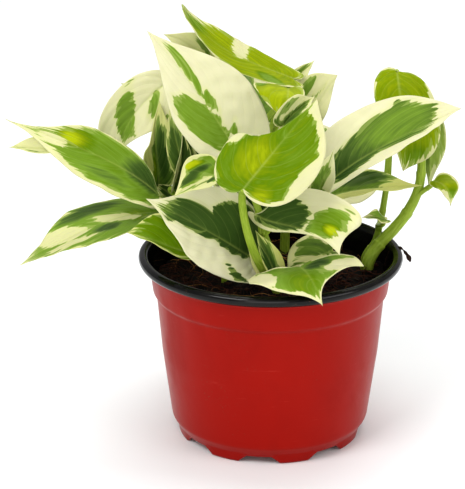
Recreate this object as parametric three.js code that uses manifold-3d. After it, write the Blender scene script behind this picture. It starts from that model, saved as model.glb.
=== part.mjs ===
// A potted njoy pothos: a thin tapered nursery pot, a plug of potting soil,
// seven stems with their leaf stalks, and a separate thin blade for every leaf.
// Millimetres, +Z up, origin at the middle of the pot's underside; -Y is the front.
import * as THREE from "three";
import { mergeVertices } from "three/addons/utils/BufferGeometryUtils.js";
import Module from "manifold-3d";

const wasm = await Module();
wasm.setup();

// Driving dimensions
const RIM_R = 65;            // outside radius of the rolled rim
const POT_H = 94;            // height to the top of the rim
const WALL = 0.9;            // wall of the formed plastic
const SKIRT_H = 4.1;         // height of the foot skirt under the raised floor
const FLOOR_T = 1.1;         // thickness of the floor
const PAD_R = 12;            // flat pad in the middle of the underside
const NOTCHES = 8;           // drain notches through the foot skirt
const NOTCH_TURN = -7.5;     // degrees from the front to the first notch
const SOIL_TOP = 79.5;       // general level of the soil
const GAP = 0.3;             // clearance between separate pieces
const SEAT = 0.45;           // clearance between a stalk's end and its blade
const SUNK_Z = 64;           // lower ends of the stems, in the soil
const BLADE_EDGE = 0.68;     // blade thickness at the edge
const BLADE_RIB = 0.9;       // blade thickness along the midrib

const V = (x, y, z) => new THREE.Vector3(x, y, z);
const clamp = (x, a, b) => Math.min(b, Math.max(a, x));

// Plain triangle list to a BufferGeometry
const geometryOf = (points, faces) => {
  const g = new THREE.BufferGeometry();
  g.setAttribute("position", new THREE.Float32BufferAttribute(points.flatMap((p) => [p.x, p.y, p.z]), 3));
  g.setIndex(faces.flat());
  return g;
};

// A closed geometry as a solid, and back
const solid = (geometry) => {
  const g = geometry.clone();
  g.deleteAttribute("normal");
  g.deleteAttribute("uv");
  const m = mergeVertices(g, 1e-5);
  return new wasm.Manifold(new wasm.Mesh({
    numProp: 3,
    vertProperties: new Float32Array(m.attributes.position.array),
    triVerts: new Uint32Array(m.index.array),
  }));
};
const geometryFrom = (manifold) => {
  const m = manifold.getMesh();
  const g = new THREE.BufferGeometry();
  g.setAttribute("position", new THREE.Float32BufferAttribute(Array.from(m.vertProperties), 3));
  g.setIndex(Array.from(m.triVerts));
  return g;
};

// The pot: one sheet turned about the axis, with a rolled rim, a ledge under
// the band below it, a step above the foot and notches through the skirt
const potOutside = [
  [44.6, 0], [45.6, 0.8], [46.3, 5.4], [48.8, 9.2], [49.2, 11],
  [53.6, 44], [56.2, 73], [57.9, 75], [59.4, 86.6], [60.2, 88.2],
];
const rimBead = [[62.6, 88.7], [64.4, 89.9], [RIM_R, 91.5], [64.6, 93.1], [63.2, POT_H], [61.7, POT_H], [60.4, 93.2], [59.8, 91.8]];
const potInside = [
  [58.5, 86.6], [57.05, 75.6], [55.3, 73.2], [52.7, 44],
  [48.3, 11.3], [46.2, 7.2], [44.6, SKIRT_H + FLOOR_T],
];
const potProfile = [
  [0, 0], [PAD_R, 0], [PAD_R + 1, SKIRT_H], [43.5, SKIRT_H], [43.5, 0.4], [43.9, 0],
  ...potOutside, ...rimBead, ...potInside, [0, SKIRT_H + FLOOR_T],
].map(([r, z]) => new THREE.Vector2(r, z));
const potBlank = new THREE.LatheGeometry(potProfile, 48).rotateX(Math.PI / 2);
const notchShape = new THREE.Shape([
  new THREE.Vector2(-10.5, -1), new THREE.Vector2(10.5, -1), new THREE.Vector2(9.6, 0.8), new THREE.Vector2(6, 3.6), new THREE.Vector2(-6, 3.6), new THREE.Vector2(-9.6, 0.8),
]);
let pot = solid(potBlank);
if (pot.volume() < 0) throw new Error("pot is inside out");
for (let i = 0; i < NOTCHES; i++) {
  // the section stands across the radius and runs outward through the skirt
  const cut = new THREE.ExtrudeGeometry(notchShape, { depth: 14, bevelEnabled: false });
  cut.rotateX(Math.PI / 2);
  cut.translate(0, -36, 0);
  cut.rotateZ(THREE.MathUtils.degToRad(NOTCH_TURN + (360 / NOTCHES) * i));
  pot = pot.subtract(solid(cut));
}

// The soil: rings of points up the inside of the pot and over an uneven top,
// heaped round the strong stem on the right
const soilTop = (x, y) => SOIL_TOP
  + 0.8 * Math.sin(0.21 * x + 0.6) * Math.cos(0.17 * y - 0.4)
  + 0.7 * Math.sin(0.43 * x - 0.31 * y + 1.1)
  + 0.5 * Math.cos(0.55 * y + 0.37 * x)
  + 4.6 * Math.exp(-((x - 51) ** 2 + (y - 10) ** 2) / 98)
  + 1.8 * Math.exp(-((x + 4) ** 2 + (y + 14) ** 2) / 420);
const soilSide = [
  [43.8, 5.6], [45.7, 8.2], [47.6, 11.6], [52.1, 44], [54.7, 73], [56.3, 76.4],
];
const soilTopRings = [56.4, 49, 40, 30, 19, 8];
const SECTORS = 32;
const soilGeometry = () => {
  const pts = [V(0, 0, SKIRT_H + FLOOR_T + GAP)];
  const rings = [];
  const ring = (r, zOf) => {
    const start = pts.length;
    for (let i = 0; i < SECTORS; i++) {
      const a = (2 * Math.PI * i) / SECTORS;
      const x = r * Math.cos(a), y = r * Math.sin(a);
      pts.push(V(x, y, zOf(x, y)));
    }
    rings.push(start);
  };
  for (const [r, z] of soilSide) ring(r, () => z);
  for (const r of soilTopRings) ring(r, soilTop);
  const top = pts.length;
  pts.push(V(0, 0, soilTop(0, 0)));
  const f = [];
  for (let i = 0; i < SECTORS; i++) {
    const j = (i + 1) % SECTORS;
    f.push([0, rings[0] + j, rings[0] + i]);
    for (let k = 0; k + 1 < rings.length; k++) {
      const a = rings[k] + i, b = rings[k] + j, c = rings[k + 1] + j, d = rings[k + 1] + i;
      f.push([a, b, c], [a, c, d]);
    }
    const last = rings[rings.length - 1];
    f.push([last + i, last + j, top]);
  }
  return geometryOf(pts, f);
};

// A blade. base: where the stalk joins; tip; face: the way the upper side looks;
// half: widths left and right of the midrib, seen from above with the tip ahead;
// a: arch of the midrib toward the upper side at one and two thirds of the length;
// s: the same sideways; fold: degrees each half is raised, at base and tip;
// lobe: how far the heart's lobes reach back; shoulder: where the blade is widest;
// fall: how far it stays wide; neck and acum: where and how full the drip tip starts;
// a pair gives the left and the right half; wave: height of the edge's waves
const BLADE = { half: [20, 20], a: [0.12, 0.12], s: [0, 0], fold: [20, 8], lobe: 0.1, acum: 0.16, shoulder: 0.3, fall: 0.28, neck: 0.8, wave: 1.2, waves: 2 };
const leaves = {
  tall_cream: { base: [-16, -14, 148], tip: [-59, -6, 207], face: [0.32, -0.88, 0.35], half: [21, 23], a: [0.03, 0.02], s: [0.03, 0.03], fold: [22, 12], lobe: [0.05, 0.1], shoulder: [0.34, 0.3] },
  heart_front: { base: [-14, -54, 144], tip: [20, -48, 186], face: [-0.1, -0.97, 0.22], half: [20, 23], a: [0.08, 0.04], fold: [14, 8], lobe: [0.09, 0.02], acum: [0.2, 0.4], shoulder: [0.25, 0.42], fall: [0.3, 0.35], neck: [0.2, 0.85], wave: 1.6 },
  low_left: { base: [-8, -18, 96], tip: [-59, -46, 137], face: [0.64, -0.69, 0.33], half: [21, 23], a: [0.05, 0.04], fold: [22, 14], lobe: [0.05, 0], shoulder: [0.45, 0.4] },
  far_left: { base: [-53, -20, 129], tip: [-125, -30, 171], face: [0.42, -0.73, 0.55], half: [17.5, 11.5], a: [0.04, 0.04], s: [0.09, 0], fold: [22, 12], lobe: [0.04, -0.06], acum: [0.1, 0.02], shoulder: [0.34, 0.46], fall: [0.42, 0.2], neck: [0.7, 0.76] },
  left_low: { base: [-54, -8, 117], tip: [-120, -36, 100], face: [-0.15, -0.24, 0.96], half: [16, 17], a: [0.14, 0.12], s: [0, -0.08], fold: [8, 4], shoulder: 0.42, fall: 0.3, neck: 0.85, acum: [0.1, 0.2] },
  left_arch: { base: [-50, 22, 174], tip: [-75, 8, 139], face: [0.01, -0.93, 0.36], half: [15, 14], a: [0.2, 0.2], s: [0.1, 0.17], fold: [12, 4], lobe: [0.06, 0.05], shoulder: [0.3, 0.5], fall: [0.28, 0.35], neck: [0.8, 0.95], acum: [0.16, 0.6] },
  right_big: { base: [23, -20, 132], tip: [90, -10, 170], face: [-0.32, -0.6, 0.73], half: [22.5, 11], a: [0.06, 0.02], s: [-0.05, -0.02], fold: [28, 20], lobe: [-0.04, 0.08], shoulder: [0.38, 0.5], fall: [0.35, 0.28], neck: [0.9, 0.85], acum: [0.4, 0.15] },
  top_lime: { base: [10, 22, 176], tip: [-43, 14, 215], face: [0.58, -0.42, 0.7], half: [13, 9], a: [-0.05, -0.11], s: [-0.05, -0.16], fold: [14, 10], shoulder: 0.42, fall: 0.35, neck: 0.95, acum: 0.35 },
  mid_lime: { base: [8, 0, 177], tip: [6, -22, 166], face: [0.08, -0.45, 0.89], half: [8, 17], a: [0.3, 0.2], fold: [10, 5], lobe: 0.04 },
  back_pale: { base: [14, 27, 147], tip: [33, 31, 175], face: [-0.1, -0.97, 0.21], half: [14, 7], fold: [16, 8], shoulder: [0.55, 0.3], neck: [0.9, 0.8], acum: [0.4, 0.16] },
  small_tip: { base: [9, 36, 168], tip: [22, 40, 180], face: [-0.01, -0.94, 0.33], half: [4, 4], fold: [20, 12] },
  folded: { base: [5, -28, 167], tip: [20, -24, 180], face: [-0.25, -0.8, 0.54], half: [8, 8], fold: [50, 40], shoulder: 0.45 },
  back_cream: { base: [-28, 18, 183], tip: [-52, 14, 200], face: [0.36, -0.88, 0.3], half: [13, 8], a: [0.1, 0.1], s: [0.1, 0.1], fold: [14, 6] },
  small_left: { base: [-25, -38, 147], tip: [-46, -46, 138], face: [-0.14, -0.56, 0.82], half: [10, 12], a: [0.1, 0.1], fold: [32, 20] },
  narrow_left: { base: [-55, 7, 123], tip: [-54, 9, 168], face: [0.57, -0.82, 0.02], half: [11.5, 11.5], a: [0.1, 0.1], s: [-0.05, -0.2], fold: [26, 30], lobe: [-0.08, 0], acum: [0.18, 0.18], shoulder: [0.46, 0.48], fall: [0.2, 0.22], neck: [0.4, 0.95], wave: 0.6 },
  narrow_b: { base: [-48, -1, 126], tip: [-43, -5, 163], face: [0.77, -0.61, -0.17], half: [9, 9], a: [0.1, 0.1], fold: [26, 30], lobe: 0, wave: 0.6 },
  dark_left: { base: [-26, 16, 159], tip: [-43, 14, 125], face: [-0.27, -0.94, 0.19], half: [14, 13], fold: [16, 8] },
  wide_right: { base: [-8, -27, 123], tip: [31, -60, 114], face: [-0.48, -0.71, 0.52], half: [20.5, 4.8], a: [0.1, 0.12], s: [0.06, -0.19], fold: [10, 4], lobe: [-0.12, 0.08], shoulder: [0.8, 0.3], fall: [0.28, 0.1], neck: [0.82, 0.6], acum: [0.38, 0.12] },
  rim_leaf: { base: [13, -38, 100], tip: [23, -71, 93], face: [-0.11, -0.24, 0.97], half: [25.5, 28.5], a: [0.16, 0.24], fold: [8, 5], lobe: [-0.05, 0.08], shoulder: [0.62, 0.42], fall: [0.02, 0.2], neck: [0.45, 0.75], acum: [0.1, 0.16] },
  under_leaf: { base: [30, -10, 98], tip: [8, -24, 94], face: [0.42, -0.78, 0.46], half: [9, 12], a: [0.2, 0.1], fold: [20, 10], shoulder: [0.3, 0.5], neck: [0.8, 0.95], acum: [0.16, 0.6] },
  right_mid: { base: [26, -1, 122], tip: [74, 6, 126], face: [-0.04, -0.25, 0.97], half: [13, 13], a: [0.08, 0.02], fold: [26, 20] },
  right_top: { base: [62, 28, 178], tip: [65, 13, 131], face: [0, -0.95, 0.3], half: [17.5, 13], a: [0.2, 0.08], s: [0, -0.08], fold: [8, 4], lobe: [-0.02, 0.03], acum: 0.24, shoulder: [0.6, 0.24], fall: [0.28, 0.12], neck: 0.9 },
  right_hang: { base: [79, 27, 153], tip: [79, 23, 116], face: [0.17, 0.98, -0.11], half: [5, 8], a: [0.16, 0.08], fold: [16, 8], neck: 0.7, acum: 0.1 },
  right_droop: { base: [80, 10, 127], tip: [88, 4, 116], face: [0.36, -0.68, 0.64], half: [8, 5.5], a: [0.5, 0.5], fold: [14, 6], lobe: 0.03 },
  right_thin: { base: [56, -2, 111], tip: [44, -10, 115], face: [0.48, -0.3, 0.82], half: [4, 4], a: [0.1, 0.1], fold: [20, 10] },
  mid_small: { base: [22, -31, 135], tip: [29, -32, 157], face: [-0.12, -0.99, -0.01], half: [6, 5.5], fold: [20, 10] },
  left_under: { base: [-35, -32, 105], tip: [-68, -46, 120], face: [0.52, -0.71, 0.48], half: [4, 13.3], a: [0.05, 0.03], s: [-0.12, 0.05], fold: [20, 10], lobe: [0.1, 0.04], acum: [0.26, 0.34], shoulder: [0.2, 0.6], fall: [0.2, 0.2], neck: [0.9, 0.85] },
  back_high: { base: [-4, 38, 150], tip: [-18, 84, 176], face: [0.76, -0.13, 0.64], half: [21, 20], a: [0.06, 0.02], fold: [18, 10] },
  back_left: { base: [-26, 36, 146], tip: [-76, 74, 158], face: [0.19, -0.06, 0.98], half: [19, 19], a: [0.14, 0.12], fold: [14, 6] },
  back_right: { base: [34, 34, 110], tip: [52, 84, 108], face: [0.1, 0, 1], half: [20, 19], a: [0.14, 0.14], fold: [14, 6] },
  back_low: { base: [4, 52, 112], tip: [2, 104, 92], face: [0, 0.36, 0.93], half: [21, 21], a: [0.16, 0.14], fold: [10, 4], lobe: 0.13 },
  back_rim: { base: [-34, 40, 104], tip: [-70, 74, 92], face: [-0.16, 0.17, 0.97], half: [17, 17], a: [0.14, 0.12], fold: [12, 6] },
  back_mid: { base: [20, 46, 128], tip: [20, 98, 132], face: [0.34, -0.07, 0.94], half: [18, 18], a: [0.14, 0.12], fold: [12, 6] },
};

// Half outline of a heart-shaped blade: how far along and how far out, 0 to 1,
// as two Bezier pieces: round the lobe to the shoulder, then down to the drip tip
const bezier2 = (p, t) => {
  const s = 1 - t, w = [s * s * s, 3 * s * s * t, 3 * s * t * t, t * t * t];
  return [0, 1].map((k) => p.reduce((sum, q, i) => sum + w[i] * q[k], 0));
};
const outline = (v, L, k) => {
  const [lobe, acum, shoulder, fall, neck] = [L.lobe, L.acum, L.shoulder, L.fall, L.neck].map((x) => (Array.isArray(x) ? x[k] : x));
  return v < 0.42
    ? bezier2([[0, 0], [-1.7 * lobe, 0.1], [-1.25 * lobe - 0.02, 1], [shoulder, 1]], v / 0.42)
    : bezier2([[shoulder, 1], [shoulder + fall, 1], [neck, acum], [1, 0]], (v - 0.42) / 0.58);
};

// The midrib as a cubic Bezier with its frame
const midrib = (leaf) => {
  const L = { ...BLADE, ...leaf };
  const B = V(...L.base), T = V(...L.tip);
  const c = T.clone().sub(B), len = c.length();
  c.normalize();
  const N = V(...L.face).addScaledVector(c, -V(...L.face).dot(c)).normalize();
  const S = c.clone().cross(N);
  const mid = (k) => B.clone().addScaledVector(c, ((k + 1) * len) / 3).addScaledVector(N, len * L.a[k]).addScaledVector(S, len * L.s[k]);
  return { L, len, S, curve: new THREE.CubicBezierCurve3(B, mid(0), mid(1), T) };
};
const alongCurve = ({ curve }, X) => {
  const t = clamp(X, 0, 1);
  const { v0, v1, v2, v3 } = curve, s = 1 - t;
  const d = v1.clone().sub(v0).multiplyScalar(3 * s * s).addScaledVector(v2.clone().sub(v1), 6 * s * t).addScaledVector(v3.clone().sub(v2), 3 * t * t);
  return { p: curve.getPoint(t).addScaledVector(d, X - t), tangent: d.normalize() };
};

// A point of the blade's middle surface at u (-1 left edge, 1 right edge) and v (0 base, 1 tip)
const bladePoint = (rib, u, v) => {
  const { L, S } = rib, q = Math.abs(u), sg = Math.sign(u);
  const [ox, oy] = outline(v, L, u < 0 ? 0 : 1);
  const xm = v ** 1.7;
  const X = xm + (ox - xm) * q ** 1.3;
  const out = oy * q * (u < 0 ? L.half[0] : L.half[1]);
  const { p, tangent } = alongCurve(rib, X);
  const side = S.clone().addScaledVector(tangent, -tangent.dot(S)).normalize();
  const up = side.clone().cross(tangent);
  const f = THREE.MathUtils.degToRad(L.fold[0] + (L.fold[1] - L.fold[0]) * clamp(X, 0, 1));
  const rise = out * Math.sin(f) + L.wave * q * q * Math.sin(2 * Math.PI * L.waves * v + 0.9 * sg) * Math.min(1, 1.2 * oy);
  return p.addScaledVector(side, sg * out * Math.cos(f)).addScaledVector(up, rise);
};

// The blade as one closed body: the same triangles on both faces and a narrow edge between
const bladeGeometry = (leaf) => {
  const rib = midrib(leaf);
  const big = Math.max(...rib.L.half) > 11 && rib.len > 30;
  const cols = big ? 3 : 2;
  const rows = big ? [0, 0.07, 0.16, 0.26, 0.36, 0.46, 0.56, 0.66, 0.76, 0.88, 1] : [0, 0.1, 0.24, 0.4, 0.56, 0.72, 0.87, 1];
  const n = 2 * cols + 1, last = rows.length - 1;
  const mid = [bladePoint(rib, 0, 0)];
  for (let j = 1; j < last; j++) for (let i = -cols; i <= cols; i++) mid.push(bladePoint(rib, i / cols, rows[j]));
  mid.push(bladePoint(rib, 0, 1));
  const at = (j, i) => (j === 0 ? 0 : j === last ? mid.length - 1 : 1 + (j - 1) * n + i);
  const face = [];
  for (let i = 0; i + 1 < n; i++) {
    face.push([0, at(1, i + 1), at(1, i)]);
    for (let j = 1; j + 1 < last; j++) {
      const a = at(j, i), b = at(j, i + 1), c = at(j + 1, i + 1), d = at(j + 1, i);
      if (i < cols) face.push([a, b, c], [a, c, d]);
      else face.push([a, b, d], [b, c, d]);
    }
    face.push([at(last - 1, i), at(last - 1, i + 1), mid.length - 1]);
  }
  const faceNormals = face.map(([a, b, c]) => mid[b].clone().sub(mid[a]).cross(mid[c].clone().sub(mid[a])));
  const normal = mid.map(() => V(0, 0, 0));
  face.forEach((t, k) => t.forEach((i) => normal[i].add(faceNormals[k])));
  normal.forEach((m) => m.normalize());
  // enough offset for the full thickness on the steepest face that meets the point
  const steep = mid.map(() => 1);
  face.forEach((t, k) => t.forEach((i) => { steep[i] = Math.min(steep[i], Math.max(0.55, normal[i].dot(faceNormals[k].clone().normalize()))); }));
  const half = mid.map((_, i) => {
    const edge = i === 0 || i === mid.length - 1 ? 1 : Math.abs(((i - 1) % n) - cols) / cols;
    return (BLADE_RIB + (BLADE_EDGE - BLADE_RIB) * edge) / 2 / steep[i];
  });
  const upper = mid.map((p, i) => p.clone().addScaledVector(normal[i], half[i]));
  const lower = mid.map((p, i) => p.clone().addScaledVector(normal[i], -half[i]));
  const m = mid.length;
  const faces = [...face, ...face.map(([a, b, c]) => [a + m, c + m, b + m])];
  const rimLoop = [0];
  for (let j = 1; j < last; j++) rimLoop.push(at(j, n - 1));
  rimLoop.push(m - 1);
  for (let j = last - 1; j > 0; j--) rimLoop.push(at(j, 0));
  rimLoop.forEach((a, k) => {
    const b = rimLoop[(k + 1) % rimLoop.length];
    faces.push([a, a + m, b + m], [a, b + m, b]);
  });
  return geometryOf([...upper, ...lower], faces);
};

// A round stem or stalk through a line of points, narrowing from r0 to r1, flat at both ends
const sweep = (points, r0, r1, sides) => {
  const n = points.length;
  const pts = [], f = [];
  let ref = V(0.21, 0.95, 0.11).normalize();
  for (let k = 0; k < n; k++) {
    const t = points[Math.min(k + 1, n - 1)].clone().sub(points[Math.max(k - 1, 0)]).normalize();
    ref = ref.addScaledVector(t, -ref.dot(t)).normalize();
    const b = t.clone().cross(ref);
    const r = r0 + ((r1 - r0) * k) / (n - 1);
    for (let i = 0; i < sides; i++) {
      const a = (2 * Math.PI * i) / sides;
      pts.push(points[k].clone().addScaledVector(ref, r * Math.cos(a)).addScaledVector(b, r * Math.sin(a)));
    }
  }
  const first = pts.length;
  pts.push(points[0].clone(), points[n - 1].clone());
  for (let i = 0; i < sides; i++) {
    const j = (i + 1) % sides;
    for (let k = 0; k + 1 < n; k++) {
      const a = k * sides + i, b = k * sides + j, c = b + sides, d = a + sides;
      f.push([a, b, c], [a, c, d]);
    }
    f.push([first, j, i], [first + 1, (n - 1) * sides + i, (n - 1) * sides + j]);
  }
  return geometryOf(pts, f);
};

// Main stems: points from the buried end up, and radii at both ends
const stems = {
  right: { points: [[48.5, 7.5, 64], [48.5, 7.5, 75], [48.6, 7.6, 85], [54, 11, 93.5], [61.5, 12, 101.5], [68, 13, 110], [73, 15, 121], [74.5, 17, 133], [73, 18, 144]], radii: [3.7, 1.9] },
  thin: { points: [[47.5, 19, 64], [47.5, 19, 75], [47.7, 19.1, 84], [52.6, 20, 92], [55.5, 20.5, 104], [58, 21.5, 122]], radii: [1.9, 1.5] },
  front: { points: [[3, -22, 64], [3, -22, 75], [3, -22, 85], [0, -25, 99], [-4, -27, 112]], radii: [3, 2.4] },
  left: { points: [[-22, -6, 64], [-22, -6, 75], [-22, -6, 85], [-26, -7, 97], [-30, -8, 108]], radii: [2.8, 2] },
  mid: { points: [[-4, 12, 64], [-4, 12, 75], [-4, 12, 88], [-7, 12, 106], [-10, 12, 122], [-14, 12, 140]], radii: [2.8, 1.8] },
  cent: { points: [[25, -2, 64], [25, -2, 75], [25, -2, 85], [27, -4, 98], [28, -4, 110]], radii: [2.8, 2] },
  back: { points: [[8, 38, 64], [8, 38, 75], [8, 38, 88], [8, 37, 102], [7, 37, 116], [6, 36, 130]], radii: [2.8, 1.8] },
};

// Where a stalk meets its blade: just under the base, coming from below.
// seatShift widens or narrows the seat where the blade's folds stand nearer or farther
const seatShift = {
  narrow_left: 0.3, narrow_b: 0.25, rim_leaf: 0.2, right_big: -0.4, top_lime: -0.4, mid_lime: -0.25,
  right_mid: -0.4, right_top: -0.5, right_hang: -0.5, left_low: 0.12, left_under: 0.12, back_low: 0.1,
  back_rim: 0.1, small_left: -0.1, wide_right: -0.35, far_left: 0.1,
};
const stalkRadius = (len) => 1 + 0.25 * clamp((len - 30) / 40, 0, 1);
const foot = (leaf, along, rise, shift = 0, stout = 1) => {
  const rib = midrib(leaf);
  const { p, tangent } = alongCurve(rib, 0);
  const side = rib.S.clone().addScaledVector(tangent, -tangent.dot(rib.S)).normalize();
  const up = side.clone().cross(tangent);
  const toward = tangent.clone().multiplyScalar(along).addScaledVector(up, rise).normalize();
  const r = stalkRadius(rib.len) * stout;
  const end = p.addScaledVector(tangent, r * toward.dot(up));
  const drop = BLADE_RIB / 2 / Math.cos(THREE.MathUtils.degToRad(rib.L.fold[0])) + r * Math.sqrt(1 - toward.dot(up) ** 2) + SEAT + shift;
  return { end: end.addScaledVector(up, -drop), toward, r };
};

// Stalks: leaf -> stem, place on the stem (0 to 1), the way it leaves it,
// pull of the curve at both ends, the share of its last way along and square to the blade,
// and how many times thicker than usual it is
const stalks = {
  heart_front: ["front", 0.5, [-0.5, -0.75, 0.7], 0.5, 0.4, 0.5, 0.85, 1.5],
  wide_right: ["front", 0.95, [-0.1, -0.1, 1], 0.4, 0.35, 0.6, 0.8],
  tall_cream: ["front", 1, [-0.1, 0.3, 1], 0.35, 0.3, 0.8, 0.6],
  small_left: ["mid", 0.7, [-0.4, -0.4, 0.8], 0.35, 0.15, 0.7, 0.7],
  low_left: ["mid", 0.4, [0, -0.8, 0.5], 0.35, 0.3, 0.5, 0.85],
  rim_leaf: ["front", 0.6, [0.5, -0.4, 0.6], 0.3, 0.3, 0.6, 0.8],
  mid_small: ["front", 1, [0.5, -0.4, 1], 0.35, 0.35, 0.6, 0.8],
  far_left: ["left", 1, [-0.4, 0, 0.9], 0.35, 0.35, 0.7, 0.7],
  left_low: ["left", 0.9, [-0.6, -0.3, 0.7], 0.3, 0.3, 0.6, 0.8],
  left_under: ["left", 0.75, [0, -0.6, 0.5], 0.3, 0.3, 0.6, 0.8],
  narrow_left: ["left", 1, [-0.2, 0.6, 1], 0.35, 0.3, 0.6, 0.8],
  narrow_b: ["left", 1, [-0.2, 0, 1], 0.35, 0.3, 0.6, 0.8],
  left_arch: ["mid", 0.94, [-0.4, 0.3, 1], 0.35, 0.3, 0.7, 0.7],
  back_cream: ["mid", 1, [-0.1, 0.3, 1], 0.35, 0.3, 0.7, 0.7],
  dark_left: ["mid", 1, [-0.3, 0, 1], 0.35, 0.3, 0.6, 0.8],
  top_lime: ["mid", 1, [0.3, 0, 1], 0.35, 0.3, 0.7, 0.7],
  mid_lime: ["mid", 0.88, [0.6, -0.6, 0.8], 0.35, 0.3, 0.5, 0.8],
  small_tip: ["mid", 0.82, [0.5, 0.5, 1], 0.35, 0.3, 0.8, 0.6],
  right_big: ["cent", 0.95, [-0.2, -0.5, 1], 0.35, 0.35, 0.7, 0.7],
  right_mid: ["cent", 1, [0, 0.2, 1], 0.35, 0.35, 0.7, 0.7],
  back_pale: ["cent", 0.8, [-0.2, 0.6, 1], 0.35, 0.35, 0.8, 0.6],
  under_leaf: ["cent", 0.75, [0.3, -0.4, 0.8], 0.35, 0.35, 0.6, 0.8],
  folded: ["front", 1, [0.3, 0.3, 1], 0.35, 0.35, 0.8, 0.6],
  right_hang: ["right", 0.96, [0, 0.2, 1], 0.35, 0.35, 0.6, 0.8],
  right_droop: ["right", 0.71, [0.4, 0, 0.9], 0.35, 0.35, 0.7, 0.7],
  right_top: ["thin", 1, [0.05, 0.1, 1], 0.4, 0.3, 0.7, 0.7],
  right_thin: ["thin", 0.73, [-0.2, -0.5, 1], 0.35, 0.35, 0.7, 0.7],
  back_high: ["back", 0.94, [0, 0.1, 1], 0.35, 0.35, 0.8, 0.6],
  back_left: ["back", 0.88, [-0.6, 0.2, 0.8], 0.35, 0.35, 0.7, 0.7],
  back_right: ["back", 0.5, [0.9, -0.2, 0.3], 0.5, 0.3, 0.6, 0.8],
  back_low: ["back", 0.64, [0, 0.5, 0.8], 0.35, 0.35, 0.6, 0.8],
  back_rim: ["back", 0.58, [-0.6, 0.3, 0.7], 0.35, 0.35, 0.6, 0.8],
  back_mid: ["back", 0.73, [0.4, 0.3, 0.8], 0.35, 0.35, 0.7, 0.7],
};

const group = new THREE.Group();
const add = (name, geometry, color, roughness) => {
  geometry.computeVertexNormals();
  const mesh = new THREE.Mesh(geometry, new THREE.MeshStandardMaterial({ color, roughness, metalness: 0 }));
  mesh.name = name;
  group.add(mesh);
};

add("pot", geometryFrom(pot), 0xb3201c, 0.42);

let soil = solid(soilGeometry());
const vines = {};
for (const [name, { points, radii }] of Object.entries(stems)) {
  const path = new THREE.CatmullRomCurve3(points.map((p) => V(...p)), false, "catmullrom", 0.5);
  const line = path.getPoints(2 * (points.length - 1));
  const [x, y] = points[0];
  const hole = new THREE.CylinderGeometry(radii[0] + 2 * GAP, radii[0] + 2 * GAP, 40, 16);
  hole.rotateX(Math.PI / 2).translate(x, y, SUNK_Z - GAP + 20);
  soil = soil.subtract(solid(hole));
  vines[name] = { path, line, radii, body: solid(sweep(line, radii[0], radii[1], 8)) };
}
for (const [leaf, [stem, place, leave, k0, k1, along, rise, stout]] of Object.entries(stalks)) {
  const vine = vines[stem];
  const start = vine.line[Math.round(place * (vine.line.length - 1))];
  const { end, toward, r } = foot(leaves[leaf], along, rise, seatShift[leaf], stout);
  const reach = end.distanceTo(start);
  const curve = new THREE.CubicBezierCurve3(
    start, start.clone().addScaledVector(V(...leave).normalize(), reach * k0),
    end.clone().addScaledVector(toward, -reach * k1), end,
  );
  const steps = Math.round(clamp(reach / 8, 3, 7));
  vine.body = vine.body.add(solid(sweep(curve.getPoints(steps), r + 0.5, r, 6)));
}
add("soil", geometryFrom(soil), 0x2e1d14, 0.95);
for (const [name, { body }] of Object.entries(vines)) add(`vine_${name}`, geometryFrom(body), 0x6f9a2c, 0.45);
for (const [name, leaf] of Object.entries(leaves)) add(`leaf_${name}`, bladeGeometry(leaf), 0x8fa83e, 0.4);

export default group;
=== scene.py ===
# %% [markdown]
# # A potted njoy pothos
# A njoy pothos is a small climbing house plant. Its heart-shaped leaves are part green
# and part cream, and no two are marked alike. It stands in a thin red nursery pot with a
# black rim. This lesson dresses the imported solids: it replaces each with a finer surface
# of the same form and gives every surface its own finish. Lengths are in millimetres
# until a mesh is made, because that is how a grower and a pot maker measure.

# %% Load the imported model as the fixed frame
import math

import bpy
import numpy as np
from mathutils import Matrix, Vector


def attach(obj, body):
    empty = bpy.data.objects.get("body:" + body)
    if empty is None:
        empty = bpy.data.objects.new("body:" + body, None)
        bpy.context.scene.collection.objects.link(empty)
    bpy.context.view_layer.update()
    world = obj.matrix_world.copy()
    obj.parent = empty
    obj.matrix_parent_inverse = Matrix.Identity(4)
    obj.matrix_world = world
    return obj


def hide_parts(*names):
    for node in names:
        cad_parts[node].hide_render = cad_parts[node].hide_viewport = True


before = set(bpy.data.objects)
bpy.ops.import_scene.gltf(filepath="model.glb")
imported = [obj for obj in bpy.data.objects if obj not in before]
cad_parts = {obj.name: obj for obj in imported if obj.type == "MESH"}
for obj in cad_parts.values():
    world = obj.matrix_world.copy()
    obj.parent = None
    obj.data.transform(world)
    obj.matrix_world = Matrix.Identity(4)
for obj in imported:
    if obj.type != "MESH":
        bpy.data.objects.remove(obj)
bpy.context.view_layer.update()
MM = 0.001


# %% [markdown]
# ## Camera
# The photograph looks down on the pot by about twenty degrees, from a little over a metre
# away with a long lens, so the rim reads as a flat ellipse and the leaves keep their sizes.
# The lens is worked out for a picture of 465 by 489 pixels.

# %% Camera at the photograph's angle
TILT = 20.1  # degrees the camera looks down
AIM = (-18.7, 0, 97.4)  # the point in the middle of the picture, in mm
AWAY = 1.1  # metres from that point to the camera
LONG_SIDE = 489  # pixels
FOCAL = 2240  # focal length in the same pixels
looking = Vector((0, math.cos(math.radians(TILT)), -math.sin(math.radians(TILT))))
camera = bpy.data.objects.new("camera", bpy.data.cameras.new("camera"))
bpy.context.scene.collection.objects.link(camera)
camera.data.sensor_width = 36
camera.data.lens = FOCAL / LONG_SIDE * camera.data.sensor_width
camera.location = Vector(AIM) * MM - looking * AWAY
camera.rotation_euler = (math.radians(90 - TILT), 0, 0)
bpy.context.scene.camera = camera
print("camera: lens", round(camera.data.lens, 1), "mm, height", round(camera.location.z / MM), "mm")

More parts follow.
